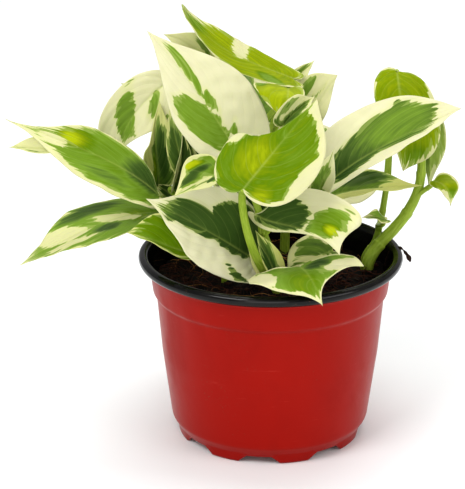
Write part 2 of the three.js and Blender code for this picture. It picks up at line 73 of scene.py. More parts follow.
# %% [markdown]
# ## Surfaces from whole arrays
# Every new piece is a grid of points worked out with numpy in one go. Three small helpers
# turn such a grid into a mesh: one counts the faces, one builds the object with any fields
# that its finish reads, and one says which solid it stands for.


# %% Grid faces and meshes
def grid(rows, cols, wrap=False):
    """Corner numbers of the four-sided faces of a grid, counted row by row: each face joins a
    point to the next in its row and to the two above. With wrap the last column joins the first."""
    j, i = np.mgrid[0 : rows - 1, 0 : cols if wrap else cols - 1]
    k = (i + 1) % cols
    return np.stack([j * cols + i, j * cols + k, (j + 1) * cols + k, (j + 1) * cols + i], -1).reshape(-1, 4)


def fan(pole, ring):
    """Triangles from one point to each edge of a closed ring of points."""
    return np.stack([np.full(len(ring), pole), ring, np.roll(ring, -1)], -1)


def unit(v):
    """Each vector divided by its own length."""
    return v / np.maximum(np.linalg.norm(v, axis=-1, keepdims=True), 1e-12)


def clamp(x):
    """x held between 0 and 1."""
    return np.clip(x, 0, 1)


def bell(x, width):
    """A bell curve: 1 where x is 0, and 0.37 where x is the width."""
    return np.exp(-((x / width) ** 2))


def piece(name, points, faces, materials, smooth=True, index=None, **fields):
    """An object at the origin from points in millimetres. faces is a list of arrays of corner
    numbers, index says which material each face has, and each field is kept at the points."""
    corners = np.concatenate([f.ravel() for f in faces]).astype(np.int32)
    sides = np.concatenate([np.full(len(f), f.shape[1]) for f in faces])
    mesh = bpy.data.meshes.new(name)
    mesh.vertices.add(len(points))
    mesh.vertices.foreach_set("co", (np.asarray(points) * MM).astype(np.float32).ravel())
    mesh.loops.add(len(corners))
    mesh.loops.foreach_set("vertex_index", corners)
    mesh.polygons.add(len(sides))
    starts = np.concatenate([[0], np.cumsum(sides)[:-1]])
    mesh.polygons.foreach_set("loop_start", starts.astype(np.int32))
    mesh.polygons.foreach_set("use_smooth", np.full(len(sides), smooth))
    if index is not None:
        mesh.polygons.foreach_set("material_index", index.astype(np.int32))
    mesh.update(calc_edges=True)
    for field, values in fields.items():
        kind, key = ("FLOAT", "value") if np.ndim(values) == 1 else ("FLOAT_VECTOR", "vector")
        kept = mesh.attributes.new(field, kind, "POINT").data
        kept.foreach_set(key, np.asarray(values, np.float32).ravel())
    for m in materials:
        mesh.materials.append(m)
    made = bpy.data.objects.new(name, mesh)
    bpy.context.scene.collection.objects.link(made)
    return made


def stand_in(made, slot, *nodes):
    """The piece rides on the plant's one body and takes the place of its solids, if it has any;
    slot is not used. Gives its number of faces."""
    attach(made, "root")
    if nodes:
        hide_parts(*nodes)
    return len(made.data.polygons)


def ripple(points, wave, seed, count=14):
    """A smooth uneven field of about -1 to 1: the mean of sines that run in random directions
    with lengths near wave, from a seeded draw."""
    rng = np.random.default_rng(seed)
    way = unit(rng.normal(size=(count, points.shape[-1])))
    turn = way * (2 * np.pi / wave * rng.uniform(0.6, 1.7, (count, 1)))
    return 2.2 * np.sin(points @ turn.T + rng.uniform(0, 2 * np.pi, count)).mean(-1)


print("helpers ready")

# %% [markdown]
# ## Writing node trees
# A finish is a node tree. The helper below adds a node, sets its values and joins its
# inputs in one call, so that a tree reads from top to bottom like a recipe. Fields that
# several finishes share become node groups later on.


# %% Node tree helper
class Tree:
    """Adds nodes to a material's or a group's tree. shader holds a material's shader inputs."""

    def __init__(self, tree, shader=None):
        self.tree = tree
        self.shader = shader

    def join(self, value, socket):
        """A link where value is another node's output, and a plain value otherwise."""
        if isinstance(value, bpy.types.NodeSocket):
            self.tree.links.new(value, socket)
        else:
            socket.default_value = value

    def add(self, kind, inputs=None, **settings):
        """A node with its settings and its inputs, by name or by number."""
        node = self.tree.nodes.new("ShaderNode" + kind)
        for key, value in settings.items():
            setattr(node, key, value)
        for key, value in (inputs or {}).items():
            self.join(value, node.inputs[key])
        return node

    def math(self, operation, *values, clamp=False):
        return self.add("Math", dict(enumerate(values)), operation=operation, use_clamp=clamp).outputs[0]

    def times(self, a, b):
        return self.math("MULTIPLY", a, b)

    def scaled(self, value, factor, offset, clamp=False):
        """The value times the factor, plus the offset."""
        return self.math("MULTIPLY_ADD", value, factor, offset, clamp=clamp)

    def swung(self, noise, amount, base, clamp=False):
        """The base, moved by the amount times how far the noise is from its middle."""
        return self.scaled(self.math("SUBTRACT", noise, 0.5), amount, base, clamp)

    def between(self, value, low, high):
        """0 below low, 1 above high and a smooth ramp in between."""
        inputs = {"Value": value, "From Min": low, "From Max": high}
        return self.add("MapRange", inputs, interpolation_type="SMOOTHSTEP").outputs["Result"]

    def mix(self, factor, a, b, blend="MIX"):
        """Colour a where factor is 0 and b where it is 1."""
        node = self.add("Mix", data_type="RGBA", blend_type=blend)
        for number, value in ((0, factor), (6, a), (7, b)):
            self.join((*value, 1) if isinstance(value, tuple) else value, node.inputs[number])
        return node.outputs[2]

    def noise(self, vector, scale, detail=2.0, rough=0.5, distort=0.0):
        inputs = {"Vector": vector, "Scale": scale, "Detail": detail}
        inputs.update(Roughness=rough, Distortion=distort)
        return self.add("TexNoise", inputs).outputs["Fac"]

    def stretch(self, vector, scale):
        return self.add("Mapping", {"Vector": vector, "Scale": scale}).outputs[0]

    def shift(self, vector, offset):
        return self.add("VectorMath", {0: vector, 1: offset}, operation="ADD").outputs[0]

    def parts(self, vector):
        """The X, Y and Z of a vector."""
        return self.add("SeparateXYZ", {0: vector}).outputs

    def place(self):
        """Where a point lies on the object, in metres."""
        return self.add("TexCoord").outputs["Object"]

    def field(self, name):
        """A field that the mesh keeps at its points."""
        return self.add("Attribute", attribute_name=name).outputs

    def coat(self, colour, rough, height, strength, depth=0.0004):
        """Joins a colour, a roughness and a bump from a height field to the material's shader."""
        bump = self.add("Bump", {"Strength": strength, "Distance": depth, "Height": height})
        for key, value in (("Base Color", colour), ("Roughness", rough), ("Normal", bump.outputs[0])):
            self.join(value, self.shader[key])


def group(name, ins, outs):
    """A new shader node group with named inputs and outputs: its tree and both sets of sockets."""
    made = bpy.data.node_groups.new(name, "ShaderNodeTree")
    for direction, sockets in (("INPUT", ins), ("OUTPUT", outs)):
        for key, (kind, value) in sockets.items():
            kind = "NodeSocket" + kind
            socket = made.interface.new_socket(name=key, in_out=direction, socket_type=kind)
            if value is not None:
                socket.default_value = value
    return Tree(made), made.nodes.new("NodeGroupInput").outputs, made.nodes.new("NodeGroupOutput").inputs


def finish(name, **shader):
    """A new material and its tree, with plain values on its Principled shader."""
    material = bpy.data.materials.new(name)
    material.use_nodes = True
    inputs = material.node_tree.nodes["Principled BSDF"].inputs
    for key, value in shader.items():
        inputs[key.replace("_", " ")].default_value = value
    return material, Tree(material.node_tree, inputs)


print("node helper ready")

# %% [markdown]
# ## Wear and dust
# A nursery pot has been stacked, dragged over benches and watered. It has fine level
# scratches, faint dull smears and a little dried soil in its corners. The red and the
# black side share these marks, so they are one group with a strength for each use.

# %% Group: handling marks
tree, i, o = group(
    "handling_marks",
    {"Vector": ("Vector", None), "Seed": ("Float", 0.0)},
    {"Smear": ("Float", None), "Scratch": ("Float", None), "Dust": ("Float", None)},
)
shifted = tree.shift(i["Vector"], tree.add("CombineXYZ", {"Z": i["Seed"]}).outputs[0])
smear = tree.between(tree.noise(tree.stretch(shifted, (1, 1, 0.45)), 34, 4, 0.6, 0.6), 0.46, 0.72)
tree.join(smear, o["Smear"])
level = tree.between(tree.noise(tree.stretch(shifted, (1, 1, 14)), 60, 3, 0.7), 0.62, 0.7)
patchy = tree.between(tree.noise(shifted, 45, 2), 0.5, 0.66)
tree.join(tree.times(level, patchy), o["Scratch"])
specks = tree.between(tree.noise(shifted, 900, 2, 0.6), 0.62, 0.72)
drift = tree.between(tree.noise(shifted, 28, 3, 0.6), 0.5, 0.75)
tree.join(tree.times(specks, drift), o["Dust"])
marks = tree.tree
print("group:", marks.name, len(marks.nodes), "nodes")

# %% [markdown]
# ## Pot
# The real pot is one thin sheet of plastic, black inside and red outside, drawn over a
# mould and rolled at the rim. A lathe profile turned round the axis is the honest way to
# make it. Its corners are rounded first, and the lower edge of the foot skirt rises
# wherever a drain notch is cut, so the notches need no cutting tool.


# %% Pot profile and notches
def rounded(profile, reach):
    """Each corner of a line of points gives way to a quadratic curve that starts and ends within
    reach of it, at most 0.45 of the way to its neighbours."""
    p = np.asarray(profile, float)
    back, on = p[:-2] - p[1:-1], p[2:] - p[1:-1]
    share = lambda d: np.minimum(reach / np.linalg.norm(d, axis=1, keepdims=True), 0.45) * d
    a, b, c = p[1:-1] + share(back), p[1:-1], p[1:-1] + share(on)
    t = np.linspace(0, 1, 5)[None, :, None]
    bent = (1 - t) ** 2 * a[:, None] + 2 * t * (1 - t) * b[:, None] + t**2 * c[:, None]
    return np.concatenate([p[:1], bent.reshape(-1, 2), p[-1:]])


RIM_TOP = 94  # height to the top of the rolled rim
FOOT = 44.6  # radius where the skirt stands
RECESS = 4.1  # height of the underside inside the skirt
FLOOR = 5.2  # height of the floor inside the pot
PAD = 12  # radius of the flat pad under the middle
NOTCHES = 8
NOTCH_TURN = 7.5  # degrees from the front to the first notch
ROUND = 0.9  # how far from a corner its rounding starts
TURNS = 384
underside = [(0, 0), (PAD, 0), (PAD + 1, RECESS), (43.5, RECESS), (43.5, 0.4), (43.9, 0)]
outside = [(FOOT, 0), (45.6, 0.8), (46.3, 5.4), (48.8, 9.2), (49.2, 11), (51.4, 27.5), (53.6, 44)]
outside += [(54.9, 58.5), (56.2, 73), (57.9, 75), (58.65, 80.8), (59.4, 86.6), (60.2, 88.2)]
bead = [(62.6, 88.7), (64.4, 89.9), (65, 91.5), (64.6, 93.1), (63.2, RIM_TOP), (61.7, RIM_TOP)]
bead += [(60.4, 93.2), (59.8, 91.8)]
inside = [(58.5, 86.6), (57.05, 75.6), (55.3, 73.2), (52.7, 44), (48.3, 11.3), (46.2, 7.2), (FOOT, FLOOR)]
inside += [(0, FLOOR)]
profile = rounded(underside + outside + bead + inside, ROUND)
# a corner gives five rings, and the black starts in the last corner under the bead
starts_black = 5 * (len(underside + outside) - 1) - 2
angle = 2 * np.pi * np.arange(TURNS) / TURNS


def notch_height(a):
    """How far the skirt's lower edge rises at an angle: notches with slanted ends, 12 wide at
    the top and 21 at the foot."""
    pitch = 2 * np.pi / NOTCHES
    off = (a + np.pi / 2 + math.radians(NOTCH_TURN) + pitch / 2) % pitch - pitch / 2
    return np.interp(np.abs(FOOT * np.tan(off)), [6, 9.6, 10.5], [3.6, 0.8, 0.0])


r, z = profile[1:-1, 0][:, None], profile[1:-1, 1][:, None]
limit = np.where(r < 43.6, RECESS, 5.4)
skirt = (r > 43.2) & (z < limit) & (np.arange(len(r))[:, None] < starts_black)
z = np.where(skirt, notch_height(angle) + z * (1 - notch_height(angle) / limit), z)
bent = 0.0016 * np.sin(2 * angle + 0.7) * clamp(z / RIM_TOP)
wobble = 1 + bent + 0.0007 * np.sin(5 * angle)
rings = np.stack([r * wobble * np.cos(angle), r * wobble * np.sin(angle), z], -1)
pot_points = np.concatenate([rings.reshape(-1, 3), [[0, 0, 0], [0, 0, FLOOR]]])
print("pot: profile of", len(profile), "points,", TURNS, "turns")

# %% [markdown]
# The red side is smooth and softly shining, and a little darker over its lowest twelve
# millimetres. The black side shows at the rolled rim and inside. Two materials on one mesh keep
# the edge between the colours as clean as on the real sheet.

# %% Pot finishes
red_plastic, tree = finish(
    "red_pot_plastic",
    Specular_IOR_Level=0.16,
    Specular_Tint=(1, 0.7, 0.66, 1),
    Sheen_Weight=0.16,
    Sheen_Roughness=0.3,
)
at = tree.place()
mark = tree.add("Group", {"Vector": at, "Seed": 0.3}, node_tree=marks).outputs
red = tree.mix(tree.noise(at, 18, 3), (0.29, 0.0055, 0.0020), (0.34, 0.008, 0.003))
red = tree.mix(tree.times(mark["Smear"], 0.35), red, (0.24, 0.006, 0.003))
# darker towards the foot, over the lowest 12 mm of the red side
red = tree.mix(tree.between(tree.parts(at)["Z"], 0.012, 0.0), red, (0.28, 0.006, 0.003))
red = tree.mix(tree.times(mark["Scratch"], 0.10), red, (0.70, 0.12, 0.10))
red = tree.mix(tree.times(mark["Dust"], 0.5), red, (0.16, 0.06, 0.04))
rough = tree.scaled(mark["Smear"], 0.16, tree.scaled(tree.noise(at, 160, 3), 0.12, 0.30))
tree.coat(red, rough, tree.math("ADD", tree.noise(at, 240, 3), mark["Scratch"]), 0.12)

black_plastic, tree = finish("black_pot_plastic", Specular_IOR_Level=0.3)
at = tree.place()
mark = tree.add("Group", {"Vector": at, "Seed": 1.7}, node_tree=marks).outputs
black = tree.mix(mark["Smear"], (0.003, 0.003, 0.003), (0.008, 0.007, 0.006))
black = tree.mix(tree.times(mark["Scratch"], 0.4), black, (0.10, 0.10, 0.10))
black = tree.mix(mark["Dust"], black, (0.085, 0.05, 0.03))
tree.coat(black, tree.scaled(mark["Smear"], 0.14, 0.08), tree.noise(at, 300, 3), 0.15)
print("finishes:", red_plastic.name, black_plastic.name)

# %% Pot mesh
rows = len(r)
ring = np.arange(TURNS)
top_ring = (rows - 1) * TURNS + ring
faces = [grid(rows, TURNS, wrap=True), fan(rows * TURNS, ring[::-1]), fan(rows * TURNS + 1, top_ring)]
black_rows = np.repeat(np.arange(rows - 1) >= starts_black, TURNS)
index = np.concatenate([black_rows, np.zeros(TURNS), np.ones(TURNS)])
pot = piece("nursery_pot", pot_points, faces, [red_plastic, black_plastic], index=index)
print("pot faces:", stand_in(pot, "pot_plastic", "pot"))

# %% [markdown]
# ## Soil
# The pot holds potting mix: dark peat and bark crumbs bound with reddish coir. The bed is
# a disc of rings whose height repeats the solid's uneven top and adds fine lumps. Loose
# crumbs and coir strands then lie on it as real geometry, because they catch the light.


# %% Soil bed
SOIL_TOP = 79.5  # general level of the soil
SOIL_R = 57  # its radius at that level


def soil_top(x, y):
    """Height of the soil: the level, three low waves, a heap round the strong stem on the right
    and a broad one in the middle."""
    waves = 0.8 * np.sin(0.21 * x + 0.6) * np.cos(0.17 * y - 0.4) + 0.5 * np.cos(0.55 * y + 0.37 * x)
    waves = waves + 0.7 * np.sin(0.43 * x - 0.31 * y + 1.1)
    right_heap = 4.6 * np.exp(-((x - 51) ** 2 + (y - 10) ** 2) / 98)
    middle_heap = 1.8 * np.exp(-((x + 4) ** 2 + (y + 14) ** 2) / 420)
    return SOIL_TOP + waves + right_heap + middle_heap


def soil_surface(x, y):
    """The soil's height with lumps of 9, 4 and 1.8 millimetres on it."""
    p = np.stack([x, y], -1)
    return soil_top(x, y) + 0.5 * ripple(p, 9, 3) + 0.35 * ripple(p, 4, 4, 30) + 0.2 * ripple(p, 1.8, 5, 40)


SECTORS = 240
wall_r, wall_z = [43.8, 47.6, 52.1, 54.7, 56.6, SOIL_R], [5.6, 11.6, 44, 73, 77.2, 78.6]
ring_r = np.concatenate([wall_r, np.linspace(SOIL_R - 0.4, 0.7, 60)])[:, None]
turn = 2 * np.pi * np.arange(SECTORS) / SECTORS
sx, sy = ring_r * np.cos(turn), ring_r * np.sin(turn)
sz = soil_surface(sx, sy)
sz[: len(wall_z)] = np.array(wall_z)[:, None]
poles = [[0, 0, 5.5], [0, 0, soil_surface(np.array(0.0), np.array(0.0))]]
bed_points = np.concatenate([np.stack([sx, sy, sz], -1).reshape(-1, 3), poles])
rows, ring = len(ring_r), np.arange(SECTORS)
bed_faces = [grid(rows, SECTORS, wrap=True), fan(rows * SECTORS, ring[::-1])]
bed_faces += [fan(rows * SECTORS + 1, (rows - 1) * SECTORS + ring)]
print("soil bed:", len(bed_points), "points")

# %% Soil finishes
soil_finish, tree = finish("potting_mix", Specular_IOR_Level=0.25)
at = tree.place()
coarse, fine = tree.noise(at, 260, 4, 0.65), tree.noise(at, 1400, 3, 0.7)
brown = tree.mix(tree.between(coarse, 0.35, 0.7), (0.001, 0.0005, 0.0004), (0.008, 0.003, 0.0016))
brown = tree.mix(tree.between(fine, 0.62, 0.74), brown, (0.035, 0.012, 0.005))
tree.coat(brown, tree.scaled(fine, 0.3, 0.6), tree.math("ADD", coarse, fine), 0.8, depth=0.0012)

coir_finish, tree = finish("coir_and_bark", Specular_IOR_Level=0.3)
at = tree.place()
kind = tree.field("litter_tone")["Fac"]
coir = tree.mix(kind, (0.008, 0.003, 0.0015), (0.15, 0.035, 0.010))
coir = tree.mix(tree.between(kind, 0.86, 0.96), coir, (0.60, 0.30, 0.09))
coir = tree.mix(tree.times(tree.noise(at, 900, 3, 0.6), 0.6), coir, (0.02, 0.010, 0.006))
tree.coat(coir, tree.scaled(tree.noise(at, 500, 2), 0.3, 0.55), tree.noise(at, 1500, 3, 0.7), 0.5)
bed = piece("soil_bed", bed_points, bed_faces, [soil_finish])
print("soil bed faces:", stand_in(bed, "potting_mix", "soil"))


# %% Crumbs of bark and peat
def crumbs(name, count, size, seed, tones):
    """Lumps on the soil: one twenty-faced solid per lump, its corners pushed in and out, turned
    and flattened by a seeded draw, and set a little into the bed."""
    rng = np.random.default_rng(seed)
    g = (1 + 5**0.5) / 2
    first = np.array([(-1, g, 0), (1, g, 0), (-1, -g, 0), (1, -g, 0)])
    corner = unit(np.concatenate([np.roll(first, k, 1) for k in range(3)]))
    face = np.array(
        [(0, 11, 5), (0, 5, 1), (0, 1, 7), (0, 7, 10), (0, 10, 11), (1, 5, 9), (5, 11, 4), (11, 10, 2)]
        + [(10, 7, 6), (7, 1, 8), (3, 9, 4), (3, 4, 2), (3, 2, 6), (3, 6, 8), (3, 8, 9), (4, 9, 5)]
        + [(2, 4, 11), (6, 2, 10), (8, 6, 7), (9, 8, 1)]
    )
    reach = (SOIL_R - 1.5) * np.sqrt(rng.uniform(0, 1, count))
    way = rng.uniform(0, 2 * np.pi, count)
    place = np.stack([reach * np.cos(way), reach * np.sin(way)], -1)
    scale = size[0] * (size[1] / size[0]) ** (rng.uniform(0, 1, count) ** 2)
    pushed = corner * rng.uniform(0.65, 1.15, (count, len(corner), 1))
    shape = pushed * (scale[:, None] * rng.uniform((0.8, 0.5, 0.35), (1.5, 1.0, 0.8), (count, 3)))[:, None]
    spin, lean = rng.uniform(0, 2 * np.pi, count), rng.normal(0, 0.35, count)
    c, s, cl, sl = np.cos(spin), np.sin(spin), np.cos(lean), np.sin(lean)
    matrix = np.stack([c, -s * cl, s * sl, s, c * cl, -c * sl, 0 * c, sl, cl], -1).reshape(-1, 3, 3)
    points = np.einsum("nij,nkj->nki", matrix, shape)
    points[..., :2] += place[:, None]
    points[..., 2] += (soil_surface(place[:, 0], place[:, 1]) + 0.12 * scale)[:, None]
    faces = (face + len(corner) * np.arange(count)[:, None, None]).reshape(-1, 3)
    tone = np.repeat(rng.uniform(*tones, count), len(corner))
    return piece(name, points.reshape(-1, 3), [faces], [coir_finish], smooth=False, litter_tone=tone)


fine_crumbs = crumbs("fine_crumbs", 2600, (0.35, 1.1), 11, (0, 0.35))
bark_crumbs = crumbs("bark_crumbs", 420, (0.9, 2.4), 12, (0, 0.5))
print("crumb faces:", stand_in(fine_crumbs, "potting_mix"), stand_in(bark_crumbs, "potting_mix"))

# %% [markdown]
# ## Strands
# Coir, stems and leaf stalks are all a section carried along a line. The section may
# change on the way: it narrows, swells at a joint or carries a groove. One function makes
# the stems, the stalks and the strand over the rim, and it also keeps where each point
# lies along and round the strand, in centimetres, for the finish to read. The hundreds of
# coir threads are made the same way, but in one array.


# %% Section carried along a line
def along(line):
    """Length in millimetres from the start of a line of points to each point of it."""
    return np.concatenate([[0], np.cumsum(np.linalg.norm(np.diff(line, axis=0), axis=1))])


def strand(line, radius, upper, sides, seed=0.0):
    """Points, faces and map of a closed tube. At every point of the line, radius(length, angle)
    is measured out square to the line; angle 0 points to the upper side."""
    line = np.asarray(line, float)
    length = along(line)
    tangent = unit(np.gradient(line, axis=0))
    across = unit(np.cross(tangent, np.broadcast_to(upper, tangent.shape)))
    top = np.cross(across, tangent)
    phi = 2 * np.pi * np.arange(sides) / sides
    n = len(line)
    r = np.broadcast_to(radius(length[:, None], phi[None, :]), (n, sides))[..., None]
    out = top[:, None] * np.cos(phi)[:, None] + across[:, None] * np.sin(phi)[:, None]
    ring = np.arange(sides)
    last = (n - 1) * sides + ring
    faces = [grid(n, sides, wrap=True)[:, ::-1], fan(n * sides, ring), fan(n * sides + 1, last[::-1])]
    spots = np.stack(np.broadcast_arrays(np.sin(phi) * 0.2, length[:, None] / 10, float(seed)), -1)
    ends = np.array([[0, 0, seed], [0, length[-1] / 10, seed]])
    points = np.concatenate([(line[:, None] + r * out).reshape(-1, 3), line[[0, -1]]])
    return points, faces, np.concatenate([spots.reshape(-1, 3), ends])


def bundle(bodies):
    """Several bodies as one: their points one after another, and faces counted on."""
    start = np.cumsum([0] + [len(points) for points, _, _ in bodies])
    kinds = {}
    for shift, (_, faces, _) in zip(start, bodies):
        for f in faces:
            kinds.setdefault(f.shape[1], []).append(f + shift)
    points, plans = (np.concatenate([body[k] for body in bodies]) for k in (0, 2))
    return points, [np.concatenate(kind) for kind in kinds.values()], plans


def bezier(a, b, c, d, t):
    """Cubic Bezier curve through a and d, pulled by b and c."""
    t = np.asarray(t, float)[..., None]
    return (1 - t) ** 3 * a + 3 * (1 - t) ** 2 * t * b + 3 * (1 - t) * t**2 * c + t**3 * d


print("strand helpers ready")


# %% Coir on the soil
def coir(name, count, seed):
    """Strands of coir: three-sided threads on quadratic curves of 3 to 26 millimetres that lie on
    the bed and rise in the middle, all from a seeded draw and worked out as one array."""
    rng = np.random.default_rng(seed)
    reach = (SOIL_R - 3) * np.sqrt(rng.uniform(0, 1, count))
    way = rng.uniform(0, 2 * np.pi, count)
    middle = np.stack([reach * np.cos(way), reach * np.sin(way)], -1)
    turn = rng.uniform(0, 2 * np.pi, count)
    size = rng.uniform(3, 13, count) * rng.uniform(0.5, 1, count)
    run = np.stack([np.cos(turn), np.sin(turn)], -1) * size[:, None]
    bend = np.stack([-run[:, 1], run[:, 0]], -1) * rng.normal(0, 0.5, (count, 1))
    steps, sides = 9, 3
    s = np.linspace(-1, 1, steps)
    flat = middle[:, None] + run[:, None] * s[:, None] + bend[:, None] * (1 - s**2)[:, None]
    far = np.linalg.norm(flat, axis=-1, keepdims=True)
    flat *= np.minimum(1, (SOIL_R - 0.8) / np.maximum(far, 1e-9))
    lift = rng.uniform(0.1, 2.4, count)[:, None] * (1 - s**2) ** 0.7 + 0.25
    line = np.concatenate([flat, (soil_surface(flat[..., 0], flat[..., 1]) + lift)[..., None]], -1)
    ahead = unit(np.gradient(line, axis=1))
    side = unit(np.cross(ahead, (0, 0, 1.0)))
    top = np.cross(side, ahead)
    phi = 2 * np.pi * np.arange(sides) / sides
    out = top[:, :, None] * np.cos(phi)[:, None] + side[:, :, None] * np.sin(phi)[:, None]
    thin = np.array([0.4, 0.8, 1, 1, 1, 1, 1, 0.8, 0.4])[:, None, None]
    body = line[:, :, None] + rng.uniform(0.10, 0.24, count)[:, None, None, None] * thin * out
    each = steps * sides
    shift = each * np.arange(count)[:, None, None]
    face = (grid(steps, sides, wrap=True)[:, ::-1] + shift).reshape(-1, 4)
    ends = (np.array([[0, 1, 2], [each - 1, each - 2, each - 3]]) + shift).reshape(-1, 3)
    tone = np.repeat(rng.uniform(0.25, 1, count), each)
    return piece(name, body.reshape(-1, 3), [face, ends], [coir_finish], litter_tone=tone)


print("coir faces:", stand_in(coir("coir_strands", 480, 21), "potting_mix"))


# %% Litter over the rim
def clotted(length, phi):
    """Radius of the strand over the rim: uneven, with a clot of peat 22 millimetres along it."""
    clot = 0.7 * bell(length - 22, 1.6)
    return 0.5 + 0.25 * np.sin(length * 1.7) + clot + 0.1 * np.sin(3 * phi + length)


over_rim = np.array([(57, 10, 82), (59, 9, 97), (66, 6, 95.5), (69, 1, 88)], float)
hook = bezier(*over_rim, np.linspace(0, 1, 40))
hook_points, hook_faces, _ = strand(hook, clotted, (0, 0, 1.0), 10)
tone = np.full(len(hook_points), 0.12)
litter = piece("rim_litter", hook_points, hook_faces, [coir_finish], litter_tone=tone)
print("rim litter faces:", stand_in(litter, "potting_mix"))

# %% [markdown]
# ## Leaves as formulas
# A pothos leaf is a heart with a long drip tip. Its form here is a function of two
# parameters: u runs from -1 at the left edge over the midrib to 1 at the right edge, and
# v from 0 at the stalk to 1 at the tip. The midrib is a cubic curve in space, the outline
# says how far out the edge lies, each half is folded up a little, and the edge is waved.
# The solids use the same values and formula, so every blade stays where its solid is. Six
# small blades have no solid: a sheath and a scale beside the front stem, a curl at a tip,
# and three near-black ones deep inside the plant, whose dark green is painted shade.

# %% The leaves' places and forms
# half: width of the left and right half in mm; arch: how far the midrib rises at a third and two
# thirds of the way, as a share of its length; sway: the same sideways; fold: degrees each half is
# raised, at base and tip; lobe: how far the heart's lobes reach back; shoulder: where the blade is
# widest; fall: how far it stays wide; neck and acum: where and how full the drip tip starts; wave:
# height of the edge's waves in mm; waves: how many. A pair is for the left and right half.
def leaf(base, tip, face, half, **more):
    """Values of one leaf: its ends, the way it faces, its halves and what isn't plain about it."""
    plain = dict(arch=(0.12, 0.12), sway=(0, 0), fold=(20, 8), lobe=0.1, acum=0.16, shoulder=0.3)
    plain.update(fall=0.28, neck=0.8, wave=1.2, waves=2)
    return {**plain, "base": base, "tip": tip, "face": face, "half": half, **more}


